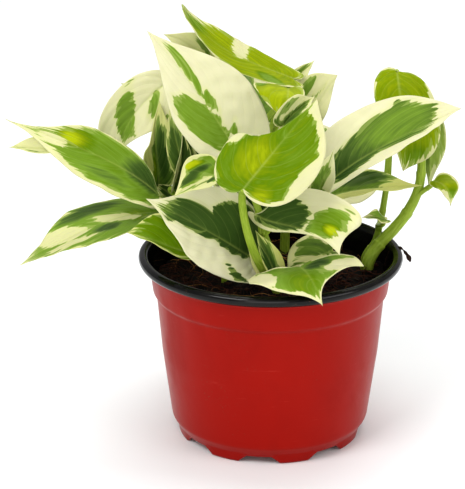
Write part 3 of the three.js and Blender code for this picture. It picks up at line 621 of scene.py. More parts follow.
leaves = {
    "tall_cream": leaf(
        (-16, -14, 148), (-59, -6, 207), (0.32, -0.88, 0.35), (21, 23), arch=(0.03, 0.02),
        sway=(0.03, 0.03), fold=(22, 12), lobe=(0.05, 0.1), shoulder=(0.34, 0.3)),
    "heart_front": leaf(
        (-14, -54, 144), (20, -48, 186), (-0.1, -0.97, 0.22), (20, 23), arch=(0.08, 0.04),
        fold=(14, 8), lobe=(0.09, 0.02), acum=(0.2, 0.4), shoulder=(0.25, 0.42), fall=(0.3, 0.35),
        neck=(0.2, 0.85), wave=1.6),
    "low_left": leaf(
        (-8, -18, 96), (-59, -46, 137), (0.64, -0.69, 0.33), (21, 23), arch=(0.05, 0.04),
        fold=(22, 14), lobe=(0.05, 0), shoulder=(0.45, 0.4)),
    "far_left": leaf(
        (-53, -20, 129), (-125, -30, 171), (0.42, -0.73, 0.55), (17.5, 11.5), arch=(0.04, 0.04),
        sway=(0.09, 0), fold=(22, 12), lobe=(0.04, -0.06), acum=(0.1, 0.02), shoulder=(0.34, 0.46),
        fall=(0.42, 0.2), neck=(0.7, 0.76)),
    "left_low": leaf(
        (-54, -8, 117), (-120, -36, 100), (-0.15, -0.24, 0.96), (16, 17), arch=(0.14, 0.12),
        sway=(0, -0.08), fold=(8, 4), shoulder=0.42, fall=0.3, neck=0.85, acum=(0.1, 0.2)),
    "left_arch": leaf(
        (-50, 22, 174), (-75, 8, 139), (0.01, -0.93, 0.36), (15, 14), arch=(0.2, 0.2),
        sway=(0.1, 0.17), fold=(12, 4), lobe=(0.06, 0.05), shoulder=(0.3, 0.5), fall=(0.28, 0.35),
        neck=(0.8, 0.95), acum=(0.16, 0.6)),
    "right_big": leaf(
        (23, -20, 132), (90, -10, 170), (-0.32, -0.6, 0.73), (22.5, 11), arch=(0.06, 0.02),
        sway=(-0.05, -0.02), fold=(28, 20), lobe=(-0.04, 0.08), shoulder=(0.38, 0.5),
        fall=(0.35, 0.28), neck=(0.9, 0.85), acum=(0.4, 0.15)),
    "top_lime": leaf(
        (10, 22, 176), (-43, 14, 215), (0.58, -0.42, 0.7), (13, 9), arch=(-0.05, -0.11),
        sway=(-0.05, -0.16), fold=(14, 10), shoulder=0.42, fall=0.35, neck=0.95, acum=0.35),
    "mid_lime": leaf(
        (8, 0, 177), (6, -22, 166), (0.08, -0.45, 0.89), (8, 17), arch=(0.3, 0.2), fold=(10, 5),
        lobe=0.04),
    "back_pale": leaf(
        (14, 27, 147), (33, 31, 175), (-0.1, -0.97, 0.21), (14, 7), fold=(16, 8), shoulder=(0.55, 0.3),
        neck=(0.9, 0.8), acum=(0.4, 0.16)),
    "small_tip": leaf((9, 36, 168), (22, 40, 180), (-0.01, -0.94, 0.33), (4, 4), fold=(20, 12)),
    "folded": leaf(
        (5, -28, 167), (20, -24, 180), (-0.25, -0.8, 0.54), (8, 8), fold=(50, 40), shoulder=0.45),
    "back_cream": leaf(
        (-28, 18, 183), (-52, 14, 200), (0.36, -0.88, 0.3), (13, 8), arch=(0.1, 0.1), sway=(0.1, 0.1),
        fold=(14, 6)),
    "small_left": leaf(
        (-25, -38, 147), (-46, -46, 138), (-0.14, -0.56, 0.82), (10, 12), arch=(0.1, 0.1),
        fold=(32, 20)),
    "narrow_left": leaf(
        (-55, 7, 123), (-54, 9, 168), (0.57, -0.82, 0.02), (11.5, 11.5), arch=(0.1, 0.1),
        sway=(-0.05, -0.2), fold=(26, 30), lobe=(-0.08, 0), acum=(0.18, 0.18), shoulder=(0.46, 0.48),
        fall=(0.2, 0.22), neck=(0.4, 0.95), wave=0.6),
    "narrow_b": leaf(
        (-48, -1, 126), (-43, -5, 163), (0.77, -0.61, -0.17), (9, 9), arch=(0.1, 0.1), fold=(26, 30),
        lobe=0, wave=0.6),
    "dark_left": leaf((-26, 16, 159), (-43, 14, 125), (-0.27, -0.94, 0.19), (14, 13), fold=(16, 8)),
    "wide_right": leaf(
        (-8, -27, 123), (31, -60, 114), (-0.48, -0.71, 0.52), (20.5, 4.8), arch=(0.1, 0.12),
        sway=(0.06, -0.19), fold=(10, 4), lobe=(-0.12, 0.08), shoulder=(0.8, 0.3), fall=(0.28, 0.1),
        neck=(0.82, 0.6), acum=(0.38, 0.12)),
    "rim_leaf": leaf(
        (13, -38, 100), (23, -71, 93), (-0.11, -0.24, 0.97), (25.5, 28.5), arch=(0.16, 0.24),
        fold=(8, 5), lobe=(-0.05, 0.08), shoulder=(0.62, 0.42), fall=(0.02, 0.2), neck=(0.45, 0.75),
        acum=(0.1, 0.16)),
    "under_leaf": leaf(
        (30, -10, 98), (8, -24, 94), (0.42, -0.78, 0.46), (9, 12), arch=(0.2, 0.1), fold=(20, 10),
        shoulder=(0.3, 0.5), neck=(0.8, 0.95), acum=(0.16, 0.6)),
    "right_mid": leaf(
        (26, -1, 122), (74, 6, 126), (-0.04, -0.25, 0.97), (13, 13), arch=(0.08, 0.02), fold=(26, 20)),
    "right_top": leaf(
        (62, 28, 178), (65, 13, 131), (0, -0.95, 0.3), (17.5, 13), arch=(0.2, 0.08), sway=(0, -0.08),
        fold=(8, 4), lobe=(-0.02, 0.03), acum=0.24, shoulder=(0.6, 0.24), fall=(0.28, 0.12), neck=0.9),
    "right_hang": leaf(
        (79, 27, 153), (79, 23, 116), (0.17, 0.98, -0.11), (5, 8), arch=(0.16, 0.08), fold=(16, 8),
        neck=0.7, acum=0.1),
    "right_droop": leaf(
        (80, 10, 127), (88, 4, 116), (0.36, -0.68, 0.64), (8, 5.5), arch=(0.5, 0.5), fold=(14, 6),
        lobe=0.03),
    "right_thin": leaf(
        (56, -2, 111), (44, -10, 115), (0.48, -0.3, 0.82), (4, 4), arch=(0.1, 0.1), fold=(20, 10)),
    "mid_small": leaf((22, -31, 135), (29, -32, 157), (-0.12, -0.99, -0.01), (6, 5.5), fold=(20, 10)),
    "left_under": leaf(
        (-35, -32, 105), (-68, -46, 120), (0.52, -0.71, 0.48), (4, 13.3), arch=(0.05, 0.03),
        sway=(-0.12, 0.05), fold=(20, 10), lobe=(0.1, 0.04), acum=(0.26, 0.34), shoulder=(0.2, 0.6),
        fall=(0.2, 0.2), neck=(0.9, 0.85)),
    "back_high": leaf(
        (-4, 38, 150), (-18, 84, 176), (0.76, -0.13, 0.64), (21, 20), arch=(0.06, 0.02),
        fold=(18, 10)),
    "back_left": leaf(
        (-26, 36, 146), (-76, 74, 158), (0.19, -0.06, 0.98), (19, 19), arch=(0.14, 0.12),
        fold=(14, 6)),
    "back_right": leaf(
        (34, 34, 110), (52, 84, 108), (0.1, 0, 1), (20, 19), arch=(0.14, 0.14), fold=(14, 6)),
    "back_low": leaf(
        (4, 52, 112), (2, 104, 92), (0, 0.36, 0.93), (21, 21), arch=(0.16, 0.14), fold=(10, 4),
        lobe=0.13),
    "back_rim": leaf(
        (-34, 40, 104), (-70, 74, 92), (-0.16, 0.17, 0.97), (17, 17), arch=(0.14, 0.12), fold=(12, 6)),
    "back_mid": leaf(
        (20, 46, 128), (20, 98, 132), (0.34, -0.07, 0.94), (18, 18), arch=(0.14, 0.12), fold=(12, 6)),
}
extras = {
    "front_sheath": leaf(
        (3, -30, 90), (-8, -33, 117), (0.25, -0.93, 0.2), (4, 6.5), fold=(30, 16), arch=(0.1, 0.02),
        lobe=0, shoulder=0.4, wave=0.5),
    "front_scale": leaf(
        (-1, -28, 88), (-12, -25, 107), (-0.2, -0.95, 0.1), (3, 4), fold=(20, 10), arch=(0.1, 0.05),
        wave=0.4),
    "far_left_curl": leaf(
        (-98, -31, 156), (-124, -30, 157), (0, -0.8, 0.6), (2.6, 5.2), fold=(8, 4), arch=(0.05, 0.05),
        lobe=0, shoulder=0.45, wave=0.4),
    # the three inner blades are dark sheets that stand for the shade deep inside the plant
    "inner_leaf": leaf(
        (-2, -4, 110), (-30, -4, 132), (-0.2, -0.85, 0.45), (9, 9), fold=(10, 4), wave=0.6),
    "inner_slip": leaf((-46, 6, 119), (-57, 6, 127), (0, -0.8, 0.5), (4, 4), wave=0.3),
    "inner_sprig": leaf(
        (-42, -2, 136), (-49, -2, 168), (-0.1, -0.95, 0.2), (6, 6), fold=(20, 10), wave=0.4),
}
longest = max(math.dist(form["base"], form["tip"]) for form in leaves.values())
print(len(leaves), "leaves, the longest", round(longest), "mm")


# %% Outline, midrib and surface
def half_outline(v, lobe, acum, shoulder, fall, neck):
    """Half a heart's edge at v: how far along the midrib and how far out, each up to 1. One cubic
    curve goes round the lobe to the shoulder, a second down to the drip tip."""
    switch = 0.42
    round_lobe = np.array([(0, 0), (-1.7 * lobe, 0.1), (-1.25 * lobe - 0.02, 1), (shoulder, 1)])
    to_tip = np.array([(shoulder, 1), (shoulder + fall, 1), (neck, acum), (1, 0)])
    low = bezier(*round_lobe, clamp(v / switch))
    high = bezier(*to_tip, clamp((v - switch) / (1 - switch)))
    return np.where(v[..., None] < switch, low, high)


def outline(form, u, v):
    """Outline at v of the half in which u lies: a pair of values gives the left and right half."""
    terms = [np.broadcast_to(form[key], 2) for key in ("lobe", "acum", "shoulder", "fall", "neck")]
    left, right = (half_outline(v, *(term[k] for term in terms)) for k in (0, 1))
    return np.where(u[..., None] < 0, left, right)


def midrib(form):
    """The midrib's cubic curve and the way its right side points."""
    base, tip = np.array(form["base"], float), np.array(form["tip"], float)
    ahead, size = unit(tip - base), np.linalg.norm(tip - base)
    up = np.array(form["face"], float)
    up = unit(up - up @ ahead * ahead)
    side = np.cross(ahead, up)
    bow = [(k + 1) * ahead / 3 + form["arch"][k] * up + form["sway"][k] * side for k in (0, 1)]
    return (base, base + size * bow[0], base + size * bow[1], tip), side


def rib_frame(curve, side, x):
    """Point, tangent, side and up directions at the share x of the midrib, carried on straight
    beyond its ends."""
    t = clamp(x)
    a, b, c, d = curve
    share = t[..., None]
    slope = 3 * (1 - share) ** 2 * (b - a) + 6 * share * (1 - share) * (c - b) + 3 * share**2 * (d - c)
    tangent = unit(slope)
    across = unit(side - (tangent @ side)[..., None] * tangent)
    return bezier(a, b, c, d, t) + slope * (x - t)[..., None], tangent, across, np.cross(across, tangent)


def blade(form, u, v):
    """Middle surface of a blade at arrays u and v, with the share along the midrib and the
    distance out in millimetres of each point."""
    curve, side = midrib(form)
    q, sign = np.abs(u), np.sign(u)
    edge = outline(form, u, v)
    x = v**1.7 + (edge[..., 0] - v**1.7) * q**1.3
    out = edge[..., 1] * q * np.where(u < 0, *form["half"])
    point, tangent, across, up = rib_frame(curve, side, x)
    lift = np.radians(form["fold"][0] + (form["fold"][1] - form["fold"][0]) * clamp(x))
    wave = form["wave"] * q**2 * np.sin(2 * np.pi * form["waves"] * v + 0.9 * sign)
    rise = out * np.sin(lift) + wave * np.minimum(1, 1.2 * edge[..., 1])
    return point + across * (sign * out * np.cos(lift))[..., None] + up * rise[..., None], x, sign * out


print("blade formula ready")

# %% [markdown]
# ## Variegation
# The cream parts are cells without chlorophyll. Lines of cells run outward from the midrib,
# so the edge of a green patch has broad lobes and fine teeth along the side veins, and dark,
# mid and pale greens lie over each other. Each leaf keeps a list of patches.
# They make one field at the points, the distance inside the green. The group below gives
# its edge lobes and teeth, and the colours.

# %% Patches of each leaf
# For each leaf: its cream margin on the left and right in mm (40 makes it cream all over), how
# lime its green and how yellow its cream is from 0 to 1, and its patches. A patch is its kind, its
# place along the midrib and out from it (right is plus), its reach along and out, all in mm, and
# its turn in degrees, if any. One that is listed twice works twice.
patches = {
    "tall_cream": (
        (40, 40), 0.52, 0.1, ("green", 23, -7.5, 19.5, 8, -14), ("green", 50, 2.5, 17, 1.8, 3),
        ("green", 30, 2.5, 6, 2.4), ("green", 11, 4.5, 4, 1.6, 30)),
    "heart_front": (
        (0.2, 2.2), 0.65, 0.35, ("cream", 22, 25, 20, 9), ("cream", 50, 6, 4, 6),
        ("cream", 19, -20, 6, 4, 20), ("glow", 16, -5, 15, 10), ("glow", 1, 9, 10, 7)),
    "low_left": (
        (40, 40), 0.16, 0.03, ("green", 44, 3, 20, 7.5), ("green", 18, 8, 20, 12.5),
        ("green", 60, -1, 9, 4.5), ("green", 10, -17, 10, 3, 25), ("glow", 62, 0, 10, 5)),
    "far_left": (
        (1.9, 0.4), 0.55, 0.4, ("dark", 10, 3, 17, 9), ("glow", 50, 4, 12, 6), ("glow", 52, 3, 8, 4),
        ("shade", 30, -9, 20, 4), ("cream", 60, -1, 8, 3)),
    "left_low": (
        (0.4, 0.4), 0.5, 0.5, ("cream", 50, 3, 13, 6, 20), ("cream", 50, -6, 12, 2.5, 10),
        ("cream", 22, 0, 11, 3.6, 20), ("dark", 30, -6, 9, 4), ("dark", 32, 12, 22, 5),
        ("glow", 12, -2, 9, 9)),
    "left_arch": (
        (40, 40), 0.44, 0.2, ("green", 27, 2.2, 15, 4.4, -36), ("green", 13, -4, 6.5, 2.6, -31),
        ("green", 42, 4, 3.5, 9, 10), ("green", 20, -13.5, 7, 2)),
    "right_big": (
        (40, 40), 0.2, 0.12, ("green", 46, -5, 20, 10, 4), ("green", 25, -3, 20, 8.5, -12),
        ("green", 57, -9, 12, 8.5), ("glow", 48, -6, 30, 13), ("shade", 10, 0, 14, 8)),
    "wide_right": (
        (40, 40), 0.14, 0.2, ("green", 14, -5, 18, 9.5), ("green", 40, -7, 12, 6, -56),
        ("glow", 40, -8, 16, 9, -56), ("glow", 40, -8, 16, 9, -56), ("lime", 44, -5, 6, 4)),
    # rim_leaf: its dark patch near the stalk is painted shade, where the blade curves up and away
    "rim_leaf": (
        (1.5, 1.8), 0.47, 0.25, ("cream", 17, -17, 5, 10, 18), ("dark", 8, -7, 6, 8),
        ("glow", 20, 4, 16, 12), ("cream", 13, 21, 9, 6)),
    "top_lime": (
        (0.2, 0.2), 0.84, 0.35, ("cream", 29, 7.5, 4.6, 9, -8), ("dark", 12, -9, 9, 4, 20),
        ("shade", 57, 1, 10, 6)),
    "mid_lime": ((0.5, 0.2), 0.88, 0.4, ("dark", 4, 14, 5, 4)),
    "back_pale": (
        (40, 40), 0.45, 0.4, ("green", 19, -10.5, 8, 3.5), ("green", 12, -5, 10, 1.3, 12),
        ("green", 4, 3, 7, 4)),
    "small_tip": ((0.5, 0.5), 0.4, 0.4, ("cream", 8, 1.5, 10, 1.2)),
    "folded": ((1, 1), 0.3, 0.35, ("cream", 10, -3, 9, 1.3)),
    "back_cream": ((40, 40), 0.35, 0.5, ("green", 10, 3, 7, 1.2, 12)),
    "small_left": (
        (0.8, 1.4), 0.52, 0.55, ("cream", 13, -1.5, 10, 1.8), ("dark", 16, 2.8, 9, 2.2),
        ("cream", 11, -8, 6, 3), ("lime", 10, 8, 7, 3), ("dark", 8, 5, 8, 2.2),
        ("dark", 8, -4.5, 8, 2.2)),
    "narrow_left": (
        (1.8, 1.4), 0.3, 0.8, ("cream", 34, -5, 12, 5), ("cream", 22, 9, 14, 3.4),
        ("cream", 18, -7, 12, 3), ("lime", 14, -3, 9, 3), ("dark", 20, 3.2, 15, 3.0)),
    "narrow_b": ((1.6, 0.6), 0.1, 0.5, ("cream", 12, -4, 14, 3)),
    "dark_left": ((1, 1), 0.08, 0.4, ("glow", 30, 0, 8, 6)),
    "under_leaf": ((1.4, 1.6), 0.34, 0.55, ("cream", 9, -1, 12, 1.3, 15), ("cream", 4, 8, 8, 3, 25)),
    "right_mid": (
        (0.4, 0.4), 0.34, 1.0, ("cream", 20, 8, 22, 7), ("dark", 18, -8, 17, 6),
        ("cream", 42, 0, 13, 5)),
    "right_top": ((0.4, 0.4), 0.8, 0.35, ("cream", 8, -15.5, 10, 2), ("shade", 43, -6, 8, 8)),
    "right_hang": (
        (0.6, 0.6), 0.76, 0.4, ("cream", 4, -3, 8, 2, 40), ("cream", 30, 3, 6, 3),
        ("shade", 20, -3, 12, 3)),
    "right_droop": ((0.6, 0.6), 0.8, 0.45, ("cream", 10, 4, 3.5, 3), ("shade", 11, -2, 4, 3)),
    "right_thin": ((0.5, 0.9), 0.45, 0.5),
    "mid_small": ((0.9, 2), 0.36, 0.3, ("cream", 8, 3, 5, 1.8)),
    "left_under": ((0.4, 0.4), 0.66, 0.9),
    "front_sheath": ((0.2, 0.2), 0.3, 1.0, ("cream", 12, 5.5, 12, 2.2), ("dark", 12, -1, 14, 3)),
    "front_scale": ((1.5, 1.5), 0.4, 0.8, ("cream", 8, 0, 10, 4)),
    "far_left_curl": ((0.4, 0.4), 0.25, 0.5, ("cream", 8, 2, 16, 3.8)),
    "back_high": ((5, 3), 0.4, 0.3, ("cream", 30, 9, 12, 6, 10), ("glow", 40, -4, 14, 8)),
    "back_left": ((9, 4), 0.3, 0.3, ("green", 20, -9, 12, 6), ("cream", 44, 4, 12, 5)),
    "back_right": ((3, 7), 0.45, 0.3, ("cream", 14, -8, 9, 5, 20), ("glow", 34, 2, 12, 7)),
    "back_low": ((4, 4), 0.5, 0.35, ("cream", 34, -8, 14, 5, -8), ("dark", 14, 4, 12, 8)),
    "back_rim": ((3, 6), 0.35, 0.3, ("cream", 30, -6, 10, 4), ("green", 16, 8, 10, 5)),
    "back_mid": ((40, 4), 0.42, 0.2, ("green", 24, -6, 15, 6), ("green", 12, -2, 14, 3)),
    # the three inner blades take the darkest greens: painted shade deep inside the plant
    "inner_leaf": ((0.4, 0.4), 0.05, 0.6),
    "inner_sprig": ((0.4, 0.4), 0.22, 0.8),
    "inner_slip": ((0.4, 0.4), 0.05, 0.6),
}
shades = {"lime": 0.5, "glow": 0.22, "shade": -0.18, "dark": -0.4}
print(sum(len(row) - 3 for row in patches.values()), "patches")


# %% Field of greens
def markings(name, along_mm, out, reach):
    """Three values at each point of a leaf, from its millimetres along, out and in from the edge:
    millimetres inside the green (cream is below 0), how lime the green is and how yellow the
    cream. The margins come first. Then each patch is an ellipse that adds cream, or adds green up
    to a cream line along the edge, or changes the green's tone."""
    margins, tone, tint, *spots = patches[name]
    green = np.clip(reach - np.where(out < 0, *margins), -6, 6)
    tone = np.full(out.shape, float(tone))
    edge_line = 1.3
    for kind, at, side, long, wide, *turn in spots:
        angle = math.radians(turn[0] if turn else 0)
        c, s = math.cos(angle), math.sin(angle)
        dx, dy = along_mm - at, out - side
        inside = 1 - np.hypot((c * dx + s * dy) / long, (c * dy - s * dx) / wide)
        if kind == "green":
            green = np.maximum(green, np.minimum(inside * min(long, wide), reach - edge_line))
        elif kind == "cream":
            green = np.minimum(green, -inside * min(long, wide))
        else:
            tone = tone + shades[kind] * clamp(inside * 1.6)
    return green, clamp(tone), np.full(out.shape, float(tint))


print("markings ready")

# %% Group: leaf pattern, its fields
tree, i, o = group(
    "leaf_pattern",
    {"Map": ("Vector", None), "Green": ("Float", 0.0), "Tone": ("Float", 0.3), "Tint": ("Float", 0.3)}
    | {"Under": ("Float", 0.0), "Rib": ("Float", 0.0)},
    {"Color": ("Color", None), "Roughness": ("Float", None), "Height": ("Float", None)},
)
SIDE_VEINS = 1.4  # per centimetre of midrib
lobes = tree.noise(tree.stretch(i["Map"], (1.5, 2.2, 1)), 1.0, 1.5)
teeth = tree.noise(tree.stretch(i["Map"], (3.8, 5.6, 1)), 1.0, 1.0)
uneven = tree.swung(teeth, 1.3, tree.swung(lobes, 4.4, i["Green"]))
green_mask = tree.between(uneven, -0.12, 0.14)
second = tree.shift(i["Map"], (3.7, 1.9, 5.1))
inner_lobes = tree.noise(tree.stretch(second, (1.4, 2.5, 1)), 1.0)
inner = tree.swung(inner_lobes, 7.0, tree.math("SUBTRACT", uneven, 0.7))
full_mask = tree.between(inner, -0.25, 0.25)
wash = tree.noise(tree.stretch(second, (1.4, 2.6, 1)), 1.2, 3, 0.55)
fibre = tree.noise(tree.stretch(i["Map"], (5, 26, 1)), 2.0, 3, 0.6)
line = tree.math("FRACT", tree.times(tree.parts(i["Map"])["Y"], SIDE_VEINS))
vein = tree.between(tree.math("ABSOLUTE", tree.math("SUBTRACT", line, 0.5)), 0.07, 0.0)
grain = tree.noise(i["Map"], 60, 2, 0.6)
tree.join(tree.scaled(i["Under"], 0.2, tree.scaled(grain, 0.16, 0.36)), o["Roughness"])
tree.join(tree.scaled(vein, -0.6, tree.scaled(grain, 0.2, tree.times(fibre, 0.3))), o["Height"])
print("leaf fields:", len(tree.tree.nodes), "nodes")

# %% Group: leaf pattern, its colours
greens = [(0.0, (0.030, 0.072, 0.013)), (0.25, (0.068, 0.125, 0.026)), (0.48, (0.190, 0.310, 0.036))]
greens += [(0.66, (0.125, 0.225, 0.001)), (0.84, (0.25, 0.32, 0.001)), (1.0, (0.43, 0.50, 0.006))]
tone = tree.swung(teeth, 0.12, tree.swung(wash, 0.30, i["Tone"]), clamp=True)
ramp = tree.add("ValToRGB", {0: tone})
stops = ramp.color_ramp.elements
stops[0].color, stops[1].color = (*greens[0][1], 1), (*greens[-1][1], 1)
for place, colour in greens[1:-1]:
    stops.new(place).color = (*colour, 1)
cream = tree.mix(i["Tint"], (0.68, 0.655, 0.44), (0.53, 0.54, 0.14))
cream = tree.mix(tree.times(tree.between(uneven, -1.6, 0.0), 0.4), cream, (0.60, 0.63, 0.22))
# random paler cream: partly the cream's own mottling, partly a painted highlight
cream = tree.mix(tree.times(wash, 0.25), cream, (0.72, 0.70, 0.52))
pale = tree.mix(0.5, ramp.outputs[0], (0.36, 0.45, 0.12))
skin = tree.mix(full_mask, pale, ramp.outputs[0])
darker = tree.mix(1.0, skin, (0.62, 0.62, 0.62), blend="MULTIPLY")
skin = tree.mix(tree.times(fibre, 0.25), skin, darker)
skin = tree.mix(tree.times(vein, 0.14), skin, (0.36, 0.46, 0.12))
skin = tree.mix(green_mask, cream, skin)
skin = tree.mix(tree.times(i["Rib"], 0.4), skin, (0.42, 0.50, 0.13))
under = tree.mix(0.35, skin, (0.30, 0.38, 0.16))
tree.join(tree.mix(i["Under"], skin, under), o["Color"])
leaf_pattern = tree.tree
print("group:", leaf_pattern.name, len(leaf_pattern.nodes), "nodes")

# %% Leaf finish
leaf_finish, tree = finish(
    "waxy_leaf",
    Specular_IOR_Level=0.18,
    Specular_Tint=(1, 1, 0.35, 1),
    Subsurface_Weight=0.08,
    Subsurface_Scale=0.002,
    Subsurface_Radius=(0.7, 1.0, 0.25),
)
shade = tree.parts(tree.field("leaf_shade")["Vector"])
side = tree.parts(tree.field("leaf_side")["Vector"])
inputs = {"Map": tree.field("leaf_map")["Vector"], "Under": side["X"], "Rib": side["Y"]}
inputs.update(Green=shade["X"], Tone=shade["Y"], Tint=shade["Z"])
look = tree.add("Group", inputs, node_tree=leaf_pattern).outputs
tree.coat(look["Color"], look["Roughness"], look["Height"], 0.22)
print("finish:", leaf_finish.name)


# %% Relief and faces of a blade
def blade_normal(form, u, v):
    """Unit normal of the middle surface, from the points a small step to either side."""
    step = 1e-3
    du = blade(form, np.clip(u + step, -1, 1), v)[0] - blade(form, np.clip(u - step, -1, 1), v)[0]
    dv = blade(form, u, v + step)[0] - blade(form, u, v - step)[0]
    return unit(np.cross(du, dv))


def relief(q, along_mm, out, vein, half, seed):
    """Height of the fine form in mm: puckers between the side veins, broad bulges, and a crinkle
    towards the edge. q is 0 on the midrib and 1 at the edge."""
    pucker = 0.09 * np.cos(2 * np.pi * vein * SIDE_VEINS) * clamp(half / 8)
    pucker = pucker * clamp(q * 3) * clamp((1 - q) * 4)
    bulge = 0.35 * ripple(np.stack([along_mm, out], -1), 13, seed) * clamp(q * 2)
    crinkle = 0.25 * np.sin(2 * np.pi * vein * 0.75 + seed) * q**6 * clamp(half / 10)
    return pucker + bulge + crinkle


def blade_faces(rows, cols):
    """Quads and triangles of a closed blade. Its points are the upper sheet, the lower sheet, and
    the upper and lower pole at the stalk and at the tip."""
    n = rows * cols
    sheet = grid(rows, cols)
    first, last = np.arange(cols), (rows - 1) * cols + np.arange(cols)
    left, right = np.arange(rows) * cols, np.arange(rows) * cols + cols - 1
    a, b, c, d = 2 * n + np.arange(4)
    wall = lambda e: np.stack([e[:-1], e[:-1] + n, e[1:] + n, e[1:]], -1)
    tri = lambda pole, e: np.stack([np.full(len(e) - 1, pole), e[1:], e[:-1]], -1)
    at_stalk = [[a, b, first[-1] + n, first[-1]], [first[0], first[0] + n, b, a]]
    at_tip = [[last[-1], last[-1] + n, d, c], [c, d, last[0] + n, last[0]]]
    quads = [sheet, sheet[:, ::-1] + n, wall(right), wall(left[::-1]), at_stalk, at_tip]
    tris = [tri(a, first), tri(b, first + n)[:, ::-1], tri(c, last)[:, ::-1], tri(d, last + n)]
    return [np.concatenate(quads), np.concatenate(tris)]


print("relief and faces ready")


# %% Leaf mesh
def leaf_piece(name, form):
    """A closed blade half a millimetre thick and half of that at the edge: the middle surface
    moved to both sides along its normal, with its relief, the midrib sunk above and raised below."""
    size = math.dist(form["base"], form["tip"])
    cols, rows = (49, 81) if size > 30 else (33, 49)
    u, v = np.meshgrid(np.linspace(-1, 1, cols), np.linspace(0, 1, rows + 2)[1:-1])
    middle, x, out = blade(form, u, v)
    normal = blade_normal(form, u, v)
    q = np.abs(u)
    half = np.where(u < 0, *form["half"]) * outline(form, u, v)[..., 1]
    vein = (v - 0.33 * q**1.4) * size / 10
    seed = sum(map(ord, name)) % 97
    height = relief(q, x * size, out, vein, half, seed)
    thick = 0.26 - 0.13 * q**4
    groove = 0.28 * bell(out, 0.75) * (1 - 0.7 * clamp(x))
    keel = 0.62 * bell(out, 0.8) * clamp(1 - x) ** 0.8
    upper = middle + normal * (height + thick - groove)[..., None]
    lower = middle + normal * (height - thick - keel)[..., None]
    stalk_end, tip = (blade(form, np.array([0.0]), np.array([t]))[0][0] for t in (0.0, 1.0))
    low, high = normal[0, cols // 2], normal[-1, cols // 2]
    poles = [stalk_end + 0.18 * low, stalk_end - 0.3 * low, tip + 0.18 * high, tip - 0.12 * high]
    points = np.concatenate([upper.reshape(-1, 3), lower.reshape(-1, 3), poles])
    green, tone, tint = markings(name, x * size, out, (1 - q) * half)
    both = lambda g, at_poles: np.concatenate([g.ravel(), g.ravel(), at_poles])
    plan = [both(out / 10, [0] * 4), both(vein, [0, 0, vein.max(), vein.max()])]
    shade = [both(green, [0] * 4), both(tone, [tone[0, 0]] * 4), both(tint, [tint[0, 0]] * 4)]
    rib = both(bell(out, 0.55) * clamp(1.1 - x), [1, 1, 0, 0])
    under = np.concatenate([np.zeros(rows * cols), np.ones(rows * cols), [0, 1, 0, 1]])
    fields = {
        "leaf_map": np.stack([*plan, np.full(len(points), float(seed))], -1),
        "leaf_shade": np.stack(shade, -1),
        "leaf_side": np.stack([under, rib, 0 * rib], -1),
    }
    made = piece("leaf_of_" + name, points, blade_faces(rows, cols), [leaf_finish], **fields)
    creamy = (green > 0).mean() < 0.4
    slot = "leaf_lime" if tone.mean() > 0.6 else "leaf_cream" if creamy else "leaf_green"
    return stand_in(made, slot, *(["leaf_" + name] if name in leaves else []))


print("leaf faces:", sum(leaf_piece(name, form) for name, form in {**leaves, **extras}.items()))

# %% [markdown]
# ## Stems and stalks
# The vines are the climbing stems: round, pale green, with a ring at each joint. A stalk
# leaves the vine, wrapped low down by the two wings of its sheath, and ends in a slight
# knee under the leaf. Both are strands; the stalk's section carries a channel between two
# wings that fade on the way up.

# %% The vines' lines and the stalks' places
SUNK = 64  # height of the vines' lower ends, in the soil
# vine: the points of its line, and its radius at the foot and at the top
vines = {
    "right": (
        [(48.5, 7.5, SUNK), (48.5, 7.5, 75), (48.6, 7.6, 85), (54, 11, 93.5), (61.5, 12, 101.5)]
        + [(68, 13, 110), (73, 15, 121), (74.5, 17, 133), (73, 18, 144)],
        (3.7, 1.9),
    ),
    "thin": (
        [(47.5, 19, SUNK), (47.5, 19, 75), (47.7, 19.1, 84), (52.6, 20, 92), (55.5, 20.5, 104)]
        + [(58, 21.5, 122)],
        (1.9, 1.5),
    ),
    "front": ([(3, -22, SUNK), (3, -22, 75), (3, -22, 85), (0, -25, 99), (-4, -27, 112)], (3, 2.4)),
    "left": ([(-22, -6, SUNK), (-22, -6, 75), (-22, -6, 85), (-26, -7, 97), (-30, -8, 108)], (2.8, 2)),
    "mid": (
        [(-4, 12, SUNK), (-4, 12, 75), (-4, 12, 88), (-7, 12, 106), (-10, 12, 122), (-14, 12, 140)],
        (2.8, 1.8),
    ),
    "cent": ([(25, -2, SUNK), (25, -2, 75), (25, -2, 85), (27, -4, 98), (28, -4, 110)], (2.8, 2)),
    "back": (
        [(8, 38, SUNK), (8, 38, 75), (8, 38, 88), (8, 37, 102), (7, 37, 116), (6, 36, 130)],
        (2.8, 1.8),
    ),
}
